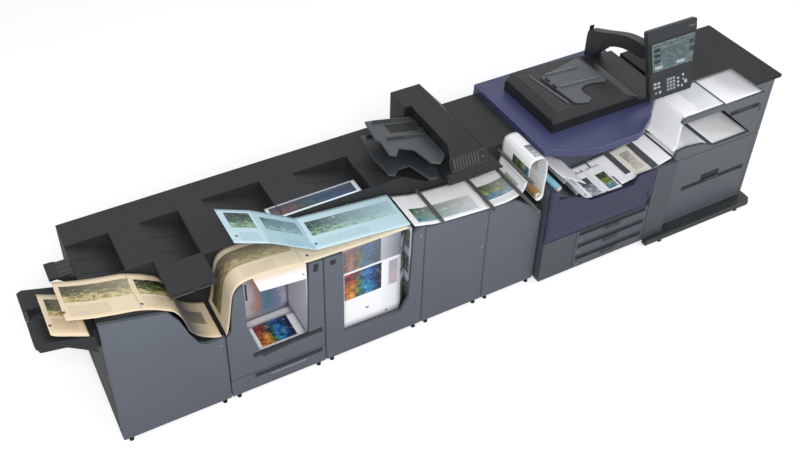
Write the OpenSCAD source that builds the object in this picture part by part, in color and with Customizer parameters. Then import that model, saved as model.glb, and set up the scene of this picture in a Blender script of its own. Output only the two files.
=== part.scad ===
// Production printing line shown as a cutaway: paper feeder, print engine
// with scanner and operator panel, relay, folder with inserter, stacker,
// booklet maker and finisher, with the sheets that run through them.
// Millimetres, Z up, front of the line towards -Y.

/* [Line] */
// Depth of the finishing modules
module_depth = 850; // [780:5:1000]
// Height of the finishing modules
module_height = 1020; // [980:5:1150]
// Height of the housings over the floor
floor_gap = 40; // [35:1:60]
// Gap between neighbouring modules
module_gap = 6; // [5.5:0.5:12]
// Thickness of a front door
door_t = 22; // [18:1:30]
// Clearance between a closed door or drawer and its housing
seat_gap = 0.3; // [0.2:0.1:0.8]

/* [Module widths] */
// Width of the finisher
finisher_w = 664; // [620:2:760]
// Width of the booklet maker
booklet_w = 615; // [580:1:700]
// Width of the stacker
stacker_w = 668; // [640:2:760]
// Width of the folder
folder_w = 450; // [430:2:520]
// Width of the relay module
relay_w = 408; // [390:2:480]

/* [Engine] */
// Width of the print engine
engine_w = 1056; // [1000:2:1200]
// Depth of the print engine
engine_depth = 940; // [880:5:1050]
// How far the engine's top cover stands over the modules
engine_rise = 53; // [40:1:90]
// How far the engine stands out in front of the modules
engine_front = 57; // [40:1:80]
// Gap between the relay module and the engine
engine_gap = 14; // [8:1:30]
// Height of the engine door's lower edge
door_low = 385; // [370:5:420]
// Width of the engine door
engine_door_w = 872; // [800:2:900]
// Width of a paper tray front
tray_w = 600; // [560:2:640]

/* [Feeder] */
// Width of the paper feeder
feeder_w = 776; // [740:2:850]
// Depth of the paper feeder
feeder_depth = 690; // [650:5:760]
// Height of the feeder under its top plate
feeder_height = 1100; // [1080:5:1160]
// Thickness of the feeder's top plate
plate_t = 25; // [18:1:40]
// Overhang of the feeder's top plate on the right
plate_over = 36; // [20:1:60]
// How far the feeder stands out in front of the modules
feeder_front = 13; // [5:1:30]
// Height of the seam between the two feeder drawers
drawer_split = 640; // [600:5:650]
// Thickness of the feeder's plinth
plinth_t = 36; // [28:1:44]
// Overhang of the plinth at the front
plinth_over = 88; // [60:1:120]
// Overhang of the plinth on the right
plinth_side = 42; // [30:1:80]

/* [Scanner and panel] */
// Width of the scanner bed
scanner_w = 890; // [800:5:930]
// Depth of the scanner bed
scanner_depth = 545; // [500:5:600]
// Thickness of the scanner bed
scanner_t = 45; // [30:1:60]
// Width of the document feeder
document_w = 590; // [540:5:640]
// Height of the document feeder over the scanner bed
document_t = 82; // [70:1:110]
// Width of the operator panel
panel_w = 408; // [360:2:450]
// Height of the operator panel along its face
panel_h = 465; // [420:1:500]
// Thickness of the operator panel
panel_t = 34; // [26:1:50]
// Lean of the operator panel from upright
panel_lean = 18; // [5:1:30]
// Height of the panel's lower edge over the engine
panel_rise = 85; // [80:1:130]

/* [Inserter] */
// Width of the inserter's housing
inserter_w = 342; // [320:2:380]
// Height of the inserter over the modules
inserter_h = 220; // [180:2:260]

/* [Paper] */
// Width of the sheets across the line
sheet_w = 300; // [280:2:320]
// Thickness of a modelled sheet
sheet_t = 2; // [1.5:0.5:4]
// Diameter of the guide rollers
roller_d = 24; // [18:1:30]

/* [Hidden] */
$fn = 48;

// Height of the engine's top, and of the panel's lower edge
engine_height = module_height + engine_rise;
panel_low = engine_height + panel_rise;

// Left edge of each machine, with 0 at the finisher's left side
booklet_x = finisher_w + module_gap;
stacker_x = booklet_x + booklet_w + module_gap;
folder_x = stacker_x + stacker_w + module_gap;
relay_x = folder_x + folder_w + module_gap;
engine_x = relay_x + relay_w + engine_gap;
feeder_x = engine_x + engine_w + module_gap;
feeder_end = feeder_x + feeder_w;

// Output side: the tray reaches this far past the finisher
tray_reach = 320;
tray_across = 420;
pile_t = 26;

// Front planes and the planes behind the doors
housing_y = door_t + seat_gap;
engine_y = -engine_front;
engine_rear = engine_y + engine_depth;
feeder_y = -feeder_front;
feeder_rear = feeder_y + feeder_depth;
plinth_right = feeder_end + plinth_side;
plinth_low = 14;
feeder_base = plinth_low + plinth_t;
plinth_y = feeder_y - plinth_over;

// Middle of the whole line, which stands on the origin
line_left = -tray_reach;
line_right = max(plinth_right, feeder_end + plate_over);
bar_reach = 190;
line_front = min(plinth_y, -bar_reach);
line_rear = engine_rear;
mid_x = (line_left + line_right) / 2;
mid_y = (line_front + line_rear) / 2;

// Paper path: the sheets lie between these two planes
path_front = 3;
path_drop = 188;
path_z = module_height - path_drop;
deck_z = drawer_split - 6;
engine_floor_z = drawer_split - 78;
path_rear = path_front + sheet_w;
cut_rear = path_rear + 12;

// Room round a drawer in its bay, and the rails that carry it
bay_room = 6;
rail_w = 20;

dark = [0.27, 0.28, 0.28];
door_grey = [0.39, 0.41, 0.44];
purple = [0.29, 0.30, 0.43];
black = [0.12, 0.13, 0.13];
cream = [0.94, 0.87, 0.75];
pale_blue = [0.75, 0.86, 0.92];
paper_white = [0.94, 0.94, 0.95];

module placed() {
    translate([-mid_x, -mid_y, 0]) children();
}

// Box between two corners
module block(low, high) {
    translate(low) cube(high - low);
}

// Outline drawn in X and Z, thick along Y from y0 to y1
module upright(y0, y1, outline) {
    translate([0, y1, 0]) rotate([90, 0, 0]) linear_extrude(y1 - y0) polygon(outline);
}

// Outline drawn in Y and Z, thick along X from x0 to x1
module sideways(x0, x1, outline) {
    translate([x0, 0, 0]) rotate([90, 0, 90]) linear_extrude(x1 - x0) polygon(outline);
}

// Rounded upright bar along Y
module roller(x, z, y0, y1, d) {
    translate([x, y1, z]) rotate([90, 0, 0]) cylinder(d = d, h = y1 - y0);
}

// Roller that just touches a run of sheets at guide point i; up = 1 above it, -1 below
module roller_on(line, i, up, y0, y1, d = roller_d) {
    away = sheet_t / 2 + seat_gap + d / 2;
    p = line[i] + up * away * side(along(line, i)) * (line[i + 1][0] > line[i - 1][0] ? 1 : -1);
    roller(p[0], p[1], y0, y1, d);
}

// Points of a smooth curve through a few guide points
function blend(p, i, t) =
    let (a = p[max(i - 1, 0)], b = p[i], c = p[i + 1], d = p[min(i + 2, len(p) - 1)])
    0.5 * (2 * b + (c - a) * t + (2 * a - 5 * b + 4 * c - d) * t * t
        + (3 * b - a - 3 * c + d) * t * t * t);
function smooth(p, steps) = concat(
    [for (i = [0:len(p) - 2]) for (s = [0:steps - 1]) blend(p, i, s / steps)],
    [p[len(p) - 1]]);
function along(p, i) = p[min(i + 1, len(p) - 1)] - p[max(i - 1, 0)];
function side(v) = [-v[1], v[0]] / norm(v);

// Sheet or run of sheets: a smooth line in X and Z, thick by t, wide along Y
module sheet(y0, y1, guide, t = sheet_t, steps = 5) {
    line = smooth(guide, steps);
    upper = [for (i = [0:len(line) - 1]) line[i] + side(along(line, i)) * t / 2];
    lower = [for (i = [len(line) - 1:-1:0]) line[i] - side(along(line, i)) * t / 2];
    upright(y0, y1, concat(upper, lower));
}

// Cut-out above a flat sheet, leaning the way an onlooker at the left front looks in
look_x = -1.22;
look_y = -0.97;
module look_in(low, high, h) {
    shift = [look_x * h, look_y * h, h];
    base = [[low[0], low[1], low[2]], [high[0], low[1], low[2]],
        [high[0], high[1], low[2]], [low[0], high[1], low[2]]];
    polyhedron(
        points = concat(base, [for (p = base) p + shift]),
        faces = [[0, 1, 2, 3], [7, 6, 5, 4], [0, 4, 5, 1], [1, 5, 6, 2], [2, 6, 7, 3], [3, 7, 4, 0]]);
}

// Output pocket in a module's top: deep at its right end, rising to the left
pocket_y0 = 320;
pocket_y1 = module_depth - 200;
pocket_deep = 95;
pocket_rim = 6;
module pocket(x0, x1, y0 = pocket_y0, y1 = pocket_y1) {
    upright(y0, y1, [[x0, module_height + 1], [x0, module_height - pocket_rim],
        [x1, module_height - pocket_deep], [x1, module_height + 1]]);
}

// Housing of a finishing module, behind its door, docked to the next on its right
module housing(x0, w, reach = module_gap) {
    block([x0, housing_y, floor_gap], [x0 + w + reach - seat_gap, module_depth, module_height]);
}

// Door with an outline in X and Z, its left edge rounded round the hinge
hinge_r = door_t / 2;
module door(x0, y0, outline) {
    intersection() {
        upright(y0, y0 + door_t, outline);
        union() {
            block([x0 + hinge_r, y0, 0], [feeder_end, y0 + door_t, feeder_height]);
            translate([x0 + hinge_r, y0 + hinge_r, 0]) cylinder(r = hinge_r, h = feeder_height);
        }
    }
}

// Long grip recess in a front, open to the front and closed behind
grip_deep = 14;
module grip(x0, x1, front_y, z0, z1) {
    block([x0, front_y - 1, z0], [x1, front_y + grip_deep, z1]);
}

// Two rails on a bay's floor under the sides of a drawer box
module rails(x0, x1, y0, y1, low, top) {
    block([x0, y0, low], [x0 + rail_w, y1, top]);
    block([x1 - rail_w, y0, low], [x1, y1, top]);
}

// Adjustable foot with its pad on the floor
foot_d = 46;
foot_pad_t = 12;
stem_d = 20;
module foot(x, y, top) {
    translate([x, y, 0]) {
        cylinder(d = foot_d, h = foot_pad_t);
        cylinder(d = stem_d, h = top);
    }
}

// ---- Finisher, at the left end ----
cover_t = 34;
stream_x = 215;
dive_x = finisher_w - 206;
low_run_z = module_height - 430;
stream_line = [[-140, module_height + 108], [-30, module_height + 66], [90, module_height + 32],
    [stream_x, module_height + sheet_t / 2 + seat_gap], [dive_x - 158, module_height - 35],
    [dive_x - 92, module_height - 75], [dive_x - 53, module_height - 105],
    [dive_x - 21, low_run_z + 270], [dive_x, low_run_z + 200], [dive_x + 20, low_run_z + 130],
    [dive_x + 72, low_run_z + 65], [finisher_w - 64, low_run_z + 18], [finisher_w - 16, low_run_z]];
module finisher_cabinet() {
    right = finisher_w + module_gap;
    under_cover = module_height - cover_t;
    cover_x = dive_x - 53;
    color(dark) placed() difference() {
        housing(0, finisher_w);
        pocket(-1, 250);
        pocket(430, finisher_w, y0 = 262);
        upright(-1, cut_rear, [[stream_x, module_height + 1], [stream_x, module_height - 2],
            [dive_x - 63, low_run_z + 290], [dive_x - 38, low_run_z + 210], [dive_x - 18, low_run_z + 110],
            [dive_x + 62, low_run_z - 30], [right, low_run_z - 30], [right, low_run_z + 300],
            [cover_x, low_run_z + 300], [cover_x, module_height + 1]]);
        block([cover_x - 1, -1, low_run_z + 299], [right, 250, under_cover]);
        block([cover_x - 1, -1, low_run_z + 299], [dive_x - 7, cut_rear, under_cover]);
        block([cover_x - 1, -1, low_run_z + 299], [right, 30, module_height + 1]);
    }
}

module finisher_front_door() {
    color(door_grey) placed() door(0, 0, [[0, floor_gap], [finisher_w, floor_gap],
        [finisher_w, low_run_z - 13], [dive_x + 102, low_run_z - 13], [dive_x + 62, low_run_z + 10],
        [dive_x + 12, low_run_z + 110], [dive_x - 31, low_run_z + 239], [dive_x - 92, module_height - 92],
        [0, module_height - 2]]);
}

// Sloping shelf that carries the first pocket on past the finisher's left side
module finisher_top_exit() {
    z = module_height;
    color(dark) placed() upright(pocket_y0 + 90, pocket_y1 - 108, [[-seat_gap, z - 80], [-seat_gap, z - 8],
        [-100, z + 26], [-140, z + 26], [-140, z + 10], [-100, z + 10]]);
}

// Moulded tray with two lobes on the finisher's left side
tray_front = -20;
tray_notch_y0 = 170;
tray_notch_y1 = 245;
module output_tray() {
    z = module_height;
    color(dark) placed() difference() {
        upright(tray_front, tray_front + tray_across, [[-seat_gap, z - 200], [-seat_gap, z - 60],
            [30 - tray_reach, z + 32], [-tray_reach, z + 20], [20 - tray_reach, z - 35],
            [-170, z - 60], [-90, z - 120]]);
        block([-tray_reach - 1, tray_notch_y0, z - 120], [90 - tray_reach, tray_notch_y1, z + 80]);
        block([-door_t, tray_front - 1, z - 220], [0, housing_y + bay_room, z + 80]);
    }
}

module delivered_pile() {
    z = module_height;
    color(cream) placed() upright(path_front - 20, path_rear, [[-228, z + 12.5], [-46, z - 44.7],
        [-46, z - 33 + pile_t / 4], [-228, z + 42 + pile_t]]);
}

module cream_exit_sheets() {
    color(cream) placed() sheet(path_front, path_rear, stream_line);
}

// ---- Booklet maker ----
window_left = booklet_x + 130;
window_right = stacker_x - 98;
window_low = floor_gap + 192;
window_top = module_height - 90;
booklet_drawer_top = floor_gap + 140;
booklet_drawer_back = 490;
booklet_drawer_side = 36;
booklet_box_low = floor_gap + 26;
module booklet_cabinet() {
    x1 = booklet_x + booklet_w;
    side = booklet_drawer_side;
    floor_z = low_run_z - 30;
    color(dark) placed() {
        difference() {
            housing(booklet_x, booklet_w);
            pocket(booklet_x + 147, stacker_x - 106, y1 = pocket_y1 + 25);
            block([booklet_x - 1, -1, floor_z], [booklet_x + 90, cut_rear, window_top - 40]);
            sideways(booklet_x - 1, booklet_x + 400, [[-1, window_top - 41], [cut_rear, window_top - 41],
                [cut_rear, window_top + 20], [cut_rear - 80, module_height + 1], [-1, module_height + 1]]);
            block([booklet_x + 399, -1, window_top - 40], [x1 + module_gap, cut_rear, module_height + 1]);
            block([window_left - 12, -1, window_low], [window_right + 11, cut_rear + 37, window_top - 35]);
            block([booklet_x + side - bay_room, -1, booklet_box_low - bay_room],
                [x1 - side + bay_room, booklet_drawer_back + bay_room, booklet_drawer_top]);
        }
        rails(booklet_x + side, x1 - side, housing_y, booklet_drawer_back,
            booklet_box_low - bay_room, booklet_box_low - seat_gap);
    }
}

module booklet_front_door() {
    x1 = booklet_x + booklet_w;
    z = module_height;
    color(door_grey) placed() difference() {
        door(booklet_x, 0, [[booklet_x, booklet_drawer_top + bay_room], [x1, booklet_drawer_top + bay_room],
            [x1, z - 114], [window_right + 7, z - 106], [window_right - 13, window_low + 94],
            [booklet_x + 213, window_low + 58], [window_left, window_low + 368],
            [window_left + 2, window_top - 5], [booklet_x + 100, window_top - 15],
            [booklet_x + 72, window_top - 50], [booklet_x + 52, low_run_z + 170],
            [booklet_x + 35, low_run_z + 10], [booklet_x, low_run_z - 30]]);
        grip(booklet_x + 153, x1 - 17, 0, window_low + 92, window_low + 110);
    }
}

// Lower drawer with its long grip
module booklet_drawer() {
    x1 = booklet_x + booklet_w;
    side = booklet_drawer_side;
    w = 14;
    color(door_grey) placed() {
        difference() {
            block([booklet_x, 0, floor_gap], [x1, door_t, booklet_drawer_top]);
            grip(booklet_x + 153, x1 - 21, 0, booklet_drawer_top - 28, booklet_drawer_top - 10);
        }
        difference() {
            block([booklet_x + side, door_t, booklet_box_low],
                [x1 - side, booklet_drawer_back, booklet_drawer_top - 16]);
            block([booklet_x + side + w, door_t + w, booklet_box_low + w],
                [x1 - side - w, booklet_drawer_back - w, module_height]);
        }
    }
}

riser_line = [[booklet_x + 6, low_run_z - 6], [booklet_x + 24, low_run_z + 50], [booklet_x + 44, low_run_z + 170],
    [booklet_x + 66, low_run_z + 290], [booklet_x + 110, module_height - 80],
    [booklet_x + 190, module_height - 63], [booklet_x + 380, module_height - 75],
    [stacker_x - 89, module_height - 93], [stacker_x + 99, module_height - 99],
    [folder_x - 115, module_height - 112]];
module cream_riser_sheets() {
    color(cream) placed() sheet(path_front, path_rear, riser_line);
}

// Sheet falling from the paper path into the window
module falling_sheet() {
    x0 = booklet_x + 190;
    x1 = window_right - 9;
    y = path_front + 5;
    top = module_height - 64 - sheet_t;
    color(paper_white) placed() upright(y, y + sheet_t + 1, [[x0, top], [x1, top - 26.5],
        [x1 + 2, top - 160], [x0 + 40, top - 128]]);
}

module booklet_pile() {
    color(paper_white) placed() block([window_left + 80, housing_y + bay_room, window_low + seat_gap],
        [window_right + 2, path_rear - 25, window_low + 30]);
}

// ---- Stacker ----
stack_x0 = stacker_x + 125;
stack_x1 = folder_x - 87;
stack_low = floor_gap + 175;
module stacker_cabinet() {
    color(dark) placed() difference() {
        housing(stacker_x, stacker_w);
        pocket(stacker_x + 104, folder_x - 205);
        block([stacker_x - 1, -1, module_height - 140],
            [stacker_x + stacker_w + module_gap, cut_rear, module_height + 1]);
        block([stack_x0 - 4, -1, stack_low], [stack_x1 + 6, cut_rear, module_height - 120]);
    }
}

module stacker_front_door() {
    x1 = stacker_x + stacker_w;
    z = module_height;
    color(door_grey) placed() door(stacker_x, 0, [[stacker_x, floor_gap], [x1, floor_gap], [x1, z - 140],
        [x1 - 54, z - 152], [stack_x1 + 7, z - 180], [stack_x1 - 11, stack_low + 98],
        [stack_x1 - 65, stack_low + 3], [stack_x0, stack_low + 12], [stack_x0, z - 120],
        [stacker_x, z - 115]]);
}

// Stack of sheets that fills the window up to the run above it
module stacker_pile() {
    color(paper_white) placed() block([stack_x0 + 4, housing_y + 4, stack_low + seat_gap],
        [stack_x1 - 66, cut_rear - 12, module_height - 135]);
}

blue_line = [[folder_x - 105, module_height - 85], [folder_x - 365, module_height - 58],
    [stacker_x - 18, module_height - 24], [stacker_x - 48, module_height - 18],
    [stacker_x - 70, module_height - 4], [booklet_x + 420, module_height + 80],
    [booklet_x + 334, module_height + 135], [booklet_x + 317, module_height + 146],
    [booklet_x + 300, module_height + 154], [booklet_x + 108, module_height + 242]];
module blue_fold_sheets() {
    color(pale_blue) placed() sheet(path_front, path_rear, blue_line, steps = 1);
}

// Printed card delivered on to the tops, over the pockets
module pocket_card() {
    color(paper_white) placed() block([booklet_x + 442, cut_rear + 2, module_height + seat_gap],
        [folder_x - 265, cut_rear + 114, module_height + seat_gap + sheet_t]);
}

// ---- Folder and relay ----
folder_floor_z = path_z - 32;
relay_floor_z = path_z - 92;
module folder_cabinet() {
    color(dark) placed() difference() {
        housing(folder_x, folder_w);
        block([folder_x - 1, -1, folder_floor_z],
            [folder_x + folder_w + module_gap, cut_rear, module_height + 1]);
    }
}

module folder_front_door() {
    x1 = folder_x + folder_w;
    color(door_grey) placed() door(folder_x, 0, [[folder_x, floor_gap], [x1, floor_gap],
        [x1, path_z - 12], [folder_x + 135, path_z + 14], [folder_x, path_z + 30]]);
}

module relay_cabinet() {
    color(dark) placed() difference() {
        housing(relay_x, relay_w, engine_gap);
        upright(-1, cut_rear, [[relay_x - 1, relay_floor_z], [relay_x + 220, relay_floor_z],
            [engine_x, relay_floor_z - 60], [engine_x, module_height + 1], [relay_x - 1, module_height + 1]]);
    }
}

module relay_front_door() {
    x1 = relay_x + relay_w;
    color(door_grey) placed() door(relay_x, 0, [[relay_x, floor_gap], [x1, floor_gap], [x1, path_z - 190],
        [relay_x + 229, path_z - 42], [relay_x + 180, path_z - 15], [relay_x, path_z - 13]]);
}

// White run: along the folder and relay, up over the arch and down round its roller
arch_x = relay_x + 374;
arch_z = path_z - 58;
arch_roller_d = 52;
around = arch_roller_d / 2 + 4.5;
transport_line = [[folder_x - 75, path_z + 74], [folder_x, path_z + 54], [folder_x + 110, path_z + 30],
    [relay_x + 8, path_z], [relay_x + 139, path_z], [relay_x + 226, path_z + 22],
    [relay_x + 256, path_z + 68], [relay_x + 269, path_z + 140], [relay_x + 274, path_z + 215],
    [relay_x + 290, path_z + 248], [relay_x + 332, path_z + 257], [relay_x + 376, path_z + 248],
    [relay_x + 402, path_z + 205], [relay_x + 410, path_z + 110], [arch_x + around, path_z + 20],
    [arch_x + around, arch_z + 5], [arch_x + 0.72 * around, arch_z - 0.69 * around],
    [arch_x, arch_z - around], [arch_x - 0.55 * around, arch_z - 0.83 * around]];
module transport_sheets() {
    color(paper_white) placed() sheet(path_front, path_rear, transport_line);
}

// ---- Inserter, over folder and relay ----
inserter_x = folder_x + 217;
inserter_lip = 45;
inserter_front = 110;
slot_y1 = 660;
module inserter_housing() {
    z = module_height;
    top = z + inserter_h;
    color(dark) placed() difference() {
        intersection() {
            upright(inserter_front, module_depth + 5, [[inserter_x, z], [inserter_x + inserter_w + 50, z],
                [inserter_x + inserter_w - 130, top], [inserter_x, top]]);
            sideways(inserter_x - 1, inserter_x + inserter_w + 51, [[inserter_front, z],
                [module_depth + 5, z], [module_depth + 5, top], [inserter_front + 120, top]]);
        }
        block([inserter_x - 1, inserter_front - 1, z + 60], [inserter_x + inserter_lip, slot_y1 + 10, top + 1]);
    }
}

// Feed tray seen from above as an outline with notches in its front edge
tray_rise = 0.235;
tray_sheet = 14;
module feed_tray(x1, z1, outline) {
    slope = atan(tray_rise);
    translate([x1, 0, z1]) rotate([0, slope, 0]) translate([0, 0, -tray_sheet])
        linear_extrude(tray_sheet) polygon(outline);
}
module inserter_lower_tray() {
    color(dark) placed() feed_tray(inserter_x - seat_gap, module_height + 50, [[0, 250], [0, 650],
        [-330, 650], [-345, 560], [-366, 408], [-357, 335], [-353, 237], [-311, 228], [-260, 280],
        [-173, 299], [-115, 150], [-60, 150]]);
}

module inserter_upper_tray() {
    color(door_grey) placed() feed_tray(inserter_x + inserter_lip - seat_gap, module_height + 140,
        [[0, 240], [0, slot_y1], [-338, slot_y1], [-368, 469], [-347, 438], [-363, 305], [-320, 288],
        [-258, 358], [-177, 324], [-142, 182], [-84, 162], [-50, 190]]);
}

// ---- Print engine ----
engine_body_y = engine_y + door_t + seat_gap;
engine_right = engine_x + engine_w;
tray_x0 = engine_x + 272;
tray_x1 = tray_x0 + tray_w;
tray_top = door_low - 8;
tray_count = 3;
tray_pitch = (tray_top - floor_gap) / tray_count;
tray_gap = 5.5;
tray_back = 470;
tray_side = 20;
tray_lift = 12;
module engine_body() {
    top = module_height;
    color(door_grey) placed() {
        difference() {
            block([engine_x, engine_body_y, floor_gap], [engine_right, engine_rear, top]);
            upright(engine_y - 1, cut_rear, [[engine_x - 1, path_z - 42], [engine_x + 70, path_z - 52],
                [engine_x + 190, engine_floor_z + 130], [engine_x + 320, engine_floor_z],
                [engine_right + 1, engine_floor_z], [engine_right + 1, top + 1], [engine_x - 1, top + 1]]);
            for (i = [0:tray_count - 1]) {
                z = floor_gap + i * tray_pitch;
                block([tray_x0 + tray_side - bay_room, engine_y - 1, z + tray_lift - bay_room],
                    [tray_x1 - tray_side + bay_room, tray_back + bay_room, z + tray_pitch - 8]);
            }
        }
        for (i = [0:tray_count - 1]) {
            z = floor_gap + i * tray_pitch + tray_lift;
            rails(tray_x0 + tray_side, tray_x1 - tray_side, engine_body_y, tray_back,
                z - bay_room, z - seat_gap);
        }
        block([engine_x, engine_y, floor_gap], [tray_x0 - tray_gap, engine_body_y, door_low - tray_gap]);
        block([tray_x1 + tray_gap, engine_y, floor_gap],
            [engine_right, engine_body_y, door_low - tray_gap]);
        block([engine_x + engine_door_w + tray_gap, engine_y, door_low - tray_gap],
            [engine_right, engine_body_y, drawer_split + 50]);
        block([engine_right, 60, 100], [feeder_x - seat_gap, 600, drawer_split - 100]);
    }
}

// Front door, its upper edge broken out in steps to show the sheets behind it
module engine_front_door() {
    x0 = engine_x + 2;
    x1 = engine_x + engine_door_w;
    low_edge = engine_floor_z + 74;
    color(purple) placed() door(x0, engine_y, [[x0, door_low], [x1 - 60, door_low], [x1, door_low + 90],
        [x1, drawer_split + 50], [x1 - 150, drawer_split + 50], [x1 - 180, low_edge - 10],
        [x0 + 330, low_edge], [x0 + 190, low_edge + 80], [x0 + 75, path_z - 89], [x0 + 35, path_z - 30],
        [x0, path_z + 3]]);
}

// Top cover, its front edge broken out in a long wave
module engine_top_cover() {
    r = engine_right;
    color(purple) placed() translate([0, 0, module_height]) linear_extrude(engine_rise) polygon([
        [engine_x, engine_rear], [engine_x, 76], [engine_x + 54, 58], [engine_x + 120, 22],
        [engine_x + 187, -10], [engine_x + 260, -38], [engine_x + 328, engine_y],
        [engine_x + 629, engine_y], [engine_x + 700, -30], [r - 220, 60], [r - 68, 247], [r, 330],
        [r, engine_rear]]);
}

// Paper tray: a front with its long grip, and an open box behind it
module paper_tray(i) {
    z0 = floor_gap + i * tray_pitch;
    z1 = z0 + tray_pitch - tray_gap;
    w = 6;
    color(door_grey) placed() {
        difference() {
            block([tray_x0, engine_y, z0], [tray_x1, engine_y + door_t, z1]);
            grip(tray_x0 + 20, tray_x1 - 20, engine_y, z1 - 34, z1 - 14);
        }
        difference() {
            block([tray_x0 + tray_side, engine_y + door_t, z0 + tray_lift],
                [tray_x1 - tray_side, tray_back, z1 - 10]);
            block([tray_x0 + tray_side + w, engine_y + door_t + w, z0 + tray_lift + w],
                [tray_x1 - tray_side - w, tray_back - w, z1]);
        }
    }
}
module paper_tray_lower() {
    paper_tray(0);
}
module paper_tray_middle() {
    paper_tray(1);
}
module paper_tray_upper() {
    paper_tray(2);
}

// Run through the engine: in from the feeder, along the drums, up to the arch
engine_line = [[engine_right - 4, drawer_split + 40], [engine_right - 99, drawer_split + 15],
    [engine_right - 249, engine_floor_z + 66], [engine_right - 449, engine_floor_z + 40],
    [engine_x + 437, engine_floor_z + 28], [engine_x + 357, engine_floor_z + 38],
    [engine_x + 297, engine_floor_z + 92], [engine_x + 239, path_z - 107],
    [engine_x + 187, path_z - 40], [engine_x + 117, path_z + 38], [engine_x + 62, path_z + 98]];
module engine_sheets() {
    color(paper_white) placed() sheet(path_front, path_rear, engine_line, steps = 4);
}

// Fixing roller and pressure roller under the arch
module arch_rollers() {
    color([0.75, 0.55, 0.3]) placed() {
        roller(arch_x, arch_z, housing_y, cut_rear, arch_roller_d);
        roller(engine_x + 71, path_z - 12, engine_body_y, cut_rear, 42);
    }
}

// ---- Scanner, document feeder and operator panel ----
scanner_side = 19;
scanner_x = engine_right - scanner_side - scanner_w;
scanner_y = 195;
document_y = scanner_y + 5;
document_rear = scanner_y + scanner_depth;
document_z = engine_height + scanner_t + seat_gap;
lid_hinge_r = 14;
module scanner_bed() {
    color(black) placed() block([scanner_x, scanner_y, engine_height],
        [scanner_x + scanner_w, document_rear, engine_height + scanner_t]);
}

// Feeder lid with sloping flanks, its rear edge rounded round the hinge
module document_feeder() {
    x1 = scanner_x + scanner_w - 210;
    top = document_z + document_t;
    color(black) placed() {
        difference() {
            upright(document_y, document_rear - lid_hinge_r, [[scanner_x, document_z], [x1, document_z],
                [x1, document_z + 18], [scanner_x + document_w, document_z + 52],
                [scanner_x + 150, top], [scanner_x + 40, top], [scanner_x, document_z + 40]]);
            sideways(scanner_x - 1, x1 + 1, [[document_y - 1, document_z + 20], [document_y + 30, top + 1],
                [document_y - 1, top + 1]]);
        }
        translate([scanner_x, document_rear - lid_hinge_r, document_z + lid_hinge_r]) rotate([0, 90, 0])
            cylinder(r = lid_hinge_r, h = x1 - scanner_x);
    }
}

// Sheet tray on the lid, with a hooked notch at its front right
module document_tray() {
    slope = atan((document_t - 52) / (document_w - 150));
    color([0.37, 0.37, 0.38]) placed()
        translate([scanner_x + 150, document_y, document_z + document_t + 0.4])
            rotate([0, slope, 0]) linear_extrude(12) polygon([[21, 388], [142, 426], [401, 498],
                [434, 224], [404, 188], [308, 210], [238, 202], [192, 177], [175, 136], [188, 60],
                [145, 32], [64, 56], [51, 76]]);
}

arm_w = 66;
post_gap = 5;
panel_x = feeder_x - 229;
arm_x = panel_x + 55;
panel_y = 98;
barrel_d = 44;
pin_d = 16;
pin_play = 0.05;
ear_t = 12;
ear_gap = 1;
barrel_back = 36;
barrel_up = panel_h - 166;
hinge_y = panel_y + (panel_t + barrel_back) * cos(panel_lean) + barrel_up * sin(panel_lean);
hinge_z = panel_low - (panel_t + barrel_back) * sin(panel_lean) + barrel_up * cos(panel_lean);
module along_x(x0, x1, d) {
    translate([x0, hinge_y, hinge_z]) rotate([0, 90, 0]) cylinder(d = d, h = x1 - x0);
}

// Bent arm from the engine's rear over to the back of the panel
module panel_arm() {
    post_y = document_rear + post_gap;
    post_t = 100;
    run = post_y - hinge_y;
    upper = smooth([[post_y + post_t, hinge_z - 200], [post_y + post_t - 8, hinge_z - 152],
        [post_y + 66, hinge_z - 136], [hinge_y + 0.88 * run, hinge_z - 84],
        [hinge_y + 0.54 * run, hinge_z - 10], [hinge_y + 0.32 * run, hinge_z + 19],
        [hinge_y + 0.165 * run, hinge_z + 29], [hinge_y + 4, hinge_z + barrel_d / 2 - 1]], 3);
    under = smooth([[hinge_y + 8, hinge_z + 3 - barrel_d / 2], [hinge_y + 34, hinge_z - 62],
        [hinge_y + 0.235 * run, hinge_z - 78], [hinge_y + 0.445 * run, hinge_z - 92],
        [hinge_y + 0.645 * run, hinge_z - 132], [hinge_y + 0.81 * run, hinge_z - 190],
        [hinge_y + 0.92 * run, hinge_z - 250], [post_y, hinge_z - 290]], 3);
    color(black) placed() difference() {
        union() {
            sideways(arm_x, arm_x + arm_w, concat([[post_y, engine_height], [post_y + post_t, engine_height]],
                upper, under));
            along_x(arm_x, arm_x + arm_w, barrel_d);
        }
        along_x(arm_x - 1, arm_x + arm_w + 1, pin_d + 2 * pin_play);
    }
}

// Panel, narrower at its lower edge, with two ears that hold the hinge pin
panel_taper = 62;
module operator_panel() {
    soft = 9;
    color([0.27, 0.28, 0.29]) placed() {
        translate([panel_x, panel_y, panel_low]) rotate([-panel_lean, 0, 0]) {
            upright(0, panel_t, [[soft, 0], [panel_w - panel_taper - soft, 0], [panel_w - panel_taper, soft],
                [panel_w, panel_h - soft], [panel_w - soft, panel_h], [soft, panel_h],
                [0, panel_h - soft], [0, soft]]);
            for (x = [arm_x - panel_x - ear_gap - ear_t, arm_x - panel_x + arm_w + ear_gap])
                translate([x, panel_t, barrel_up - 16]) cube([ear_t, barrel_back, 32]);
        }
        along_x(arm_x - ear_gap - ear_t, arm_x + arm_w + ear_gap + ear_t, pin_d);
    }
}

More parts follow.
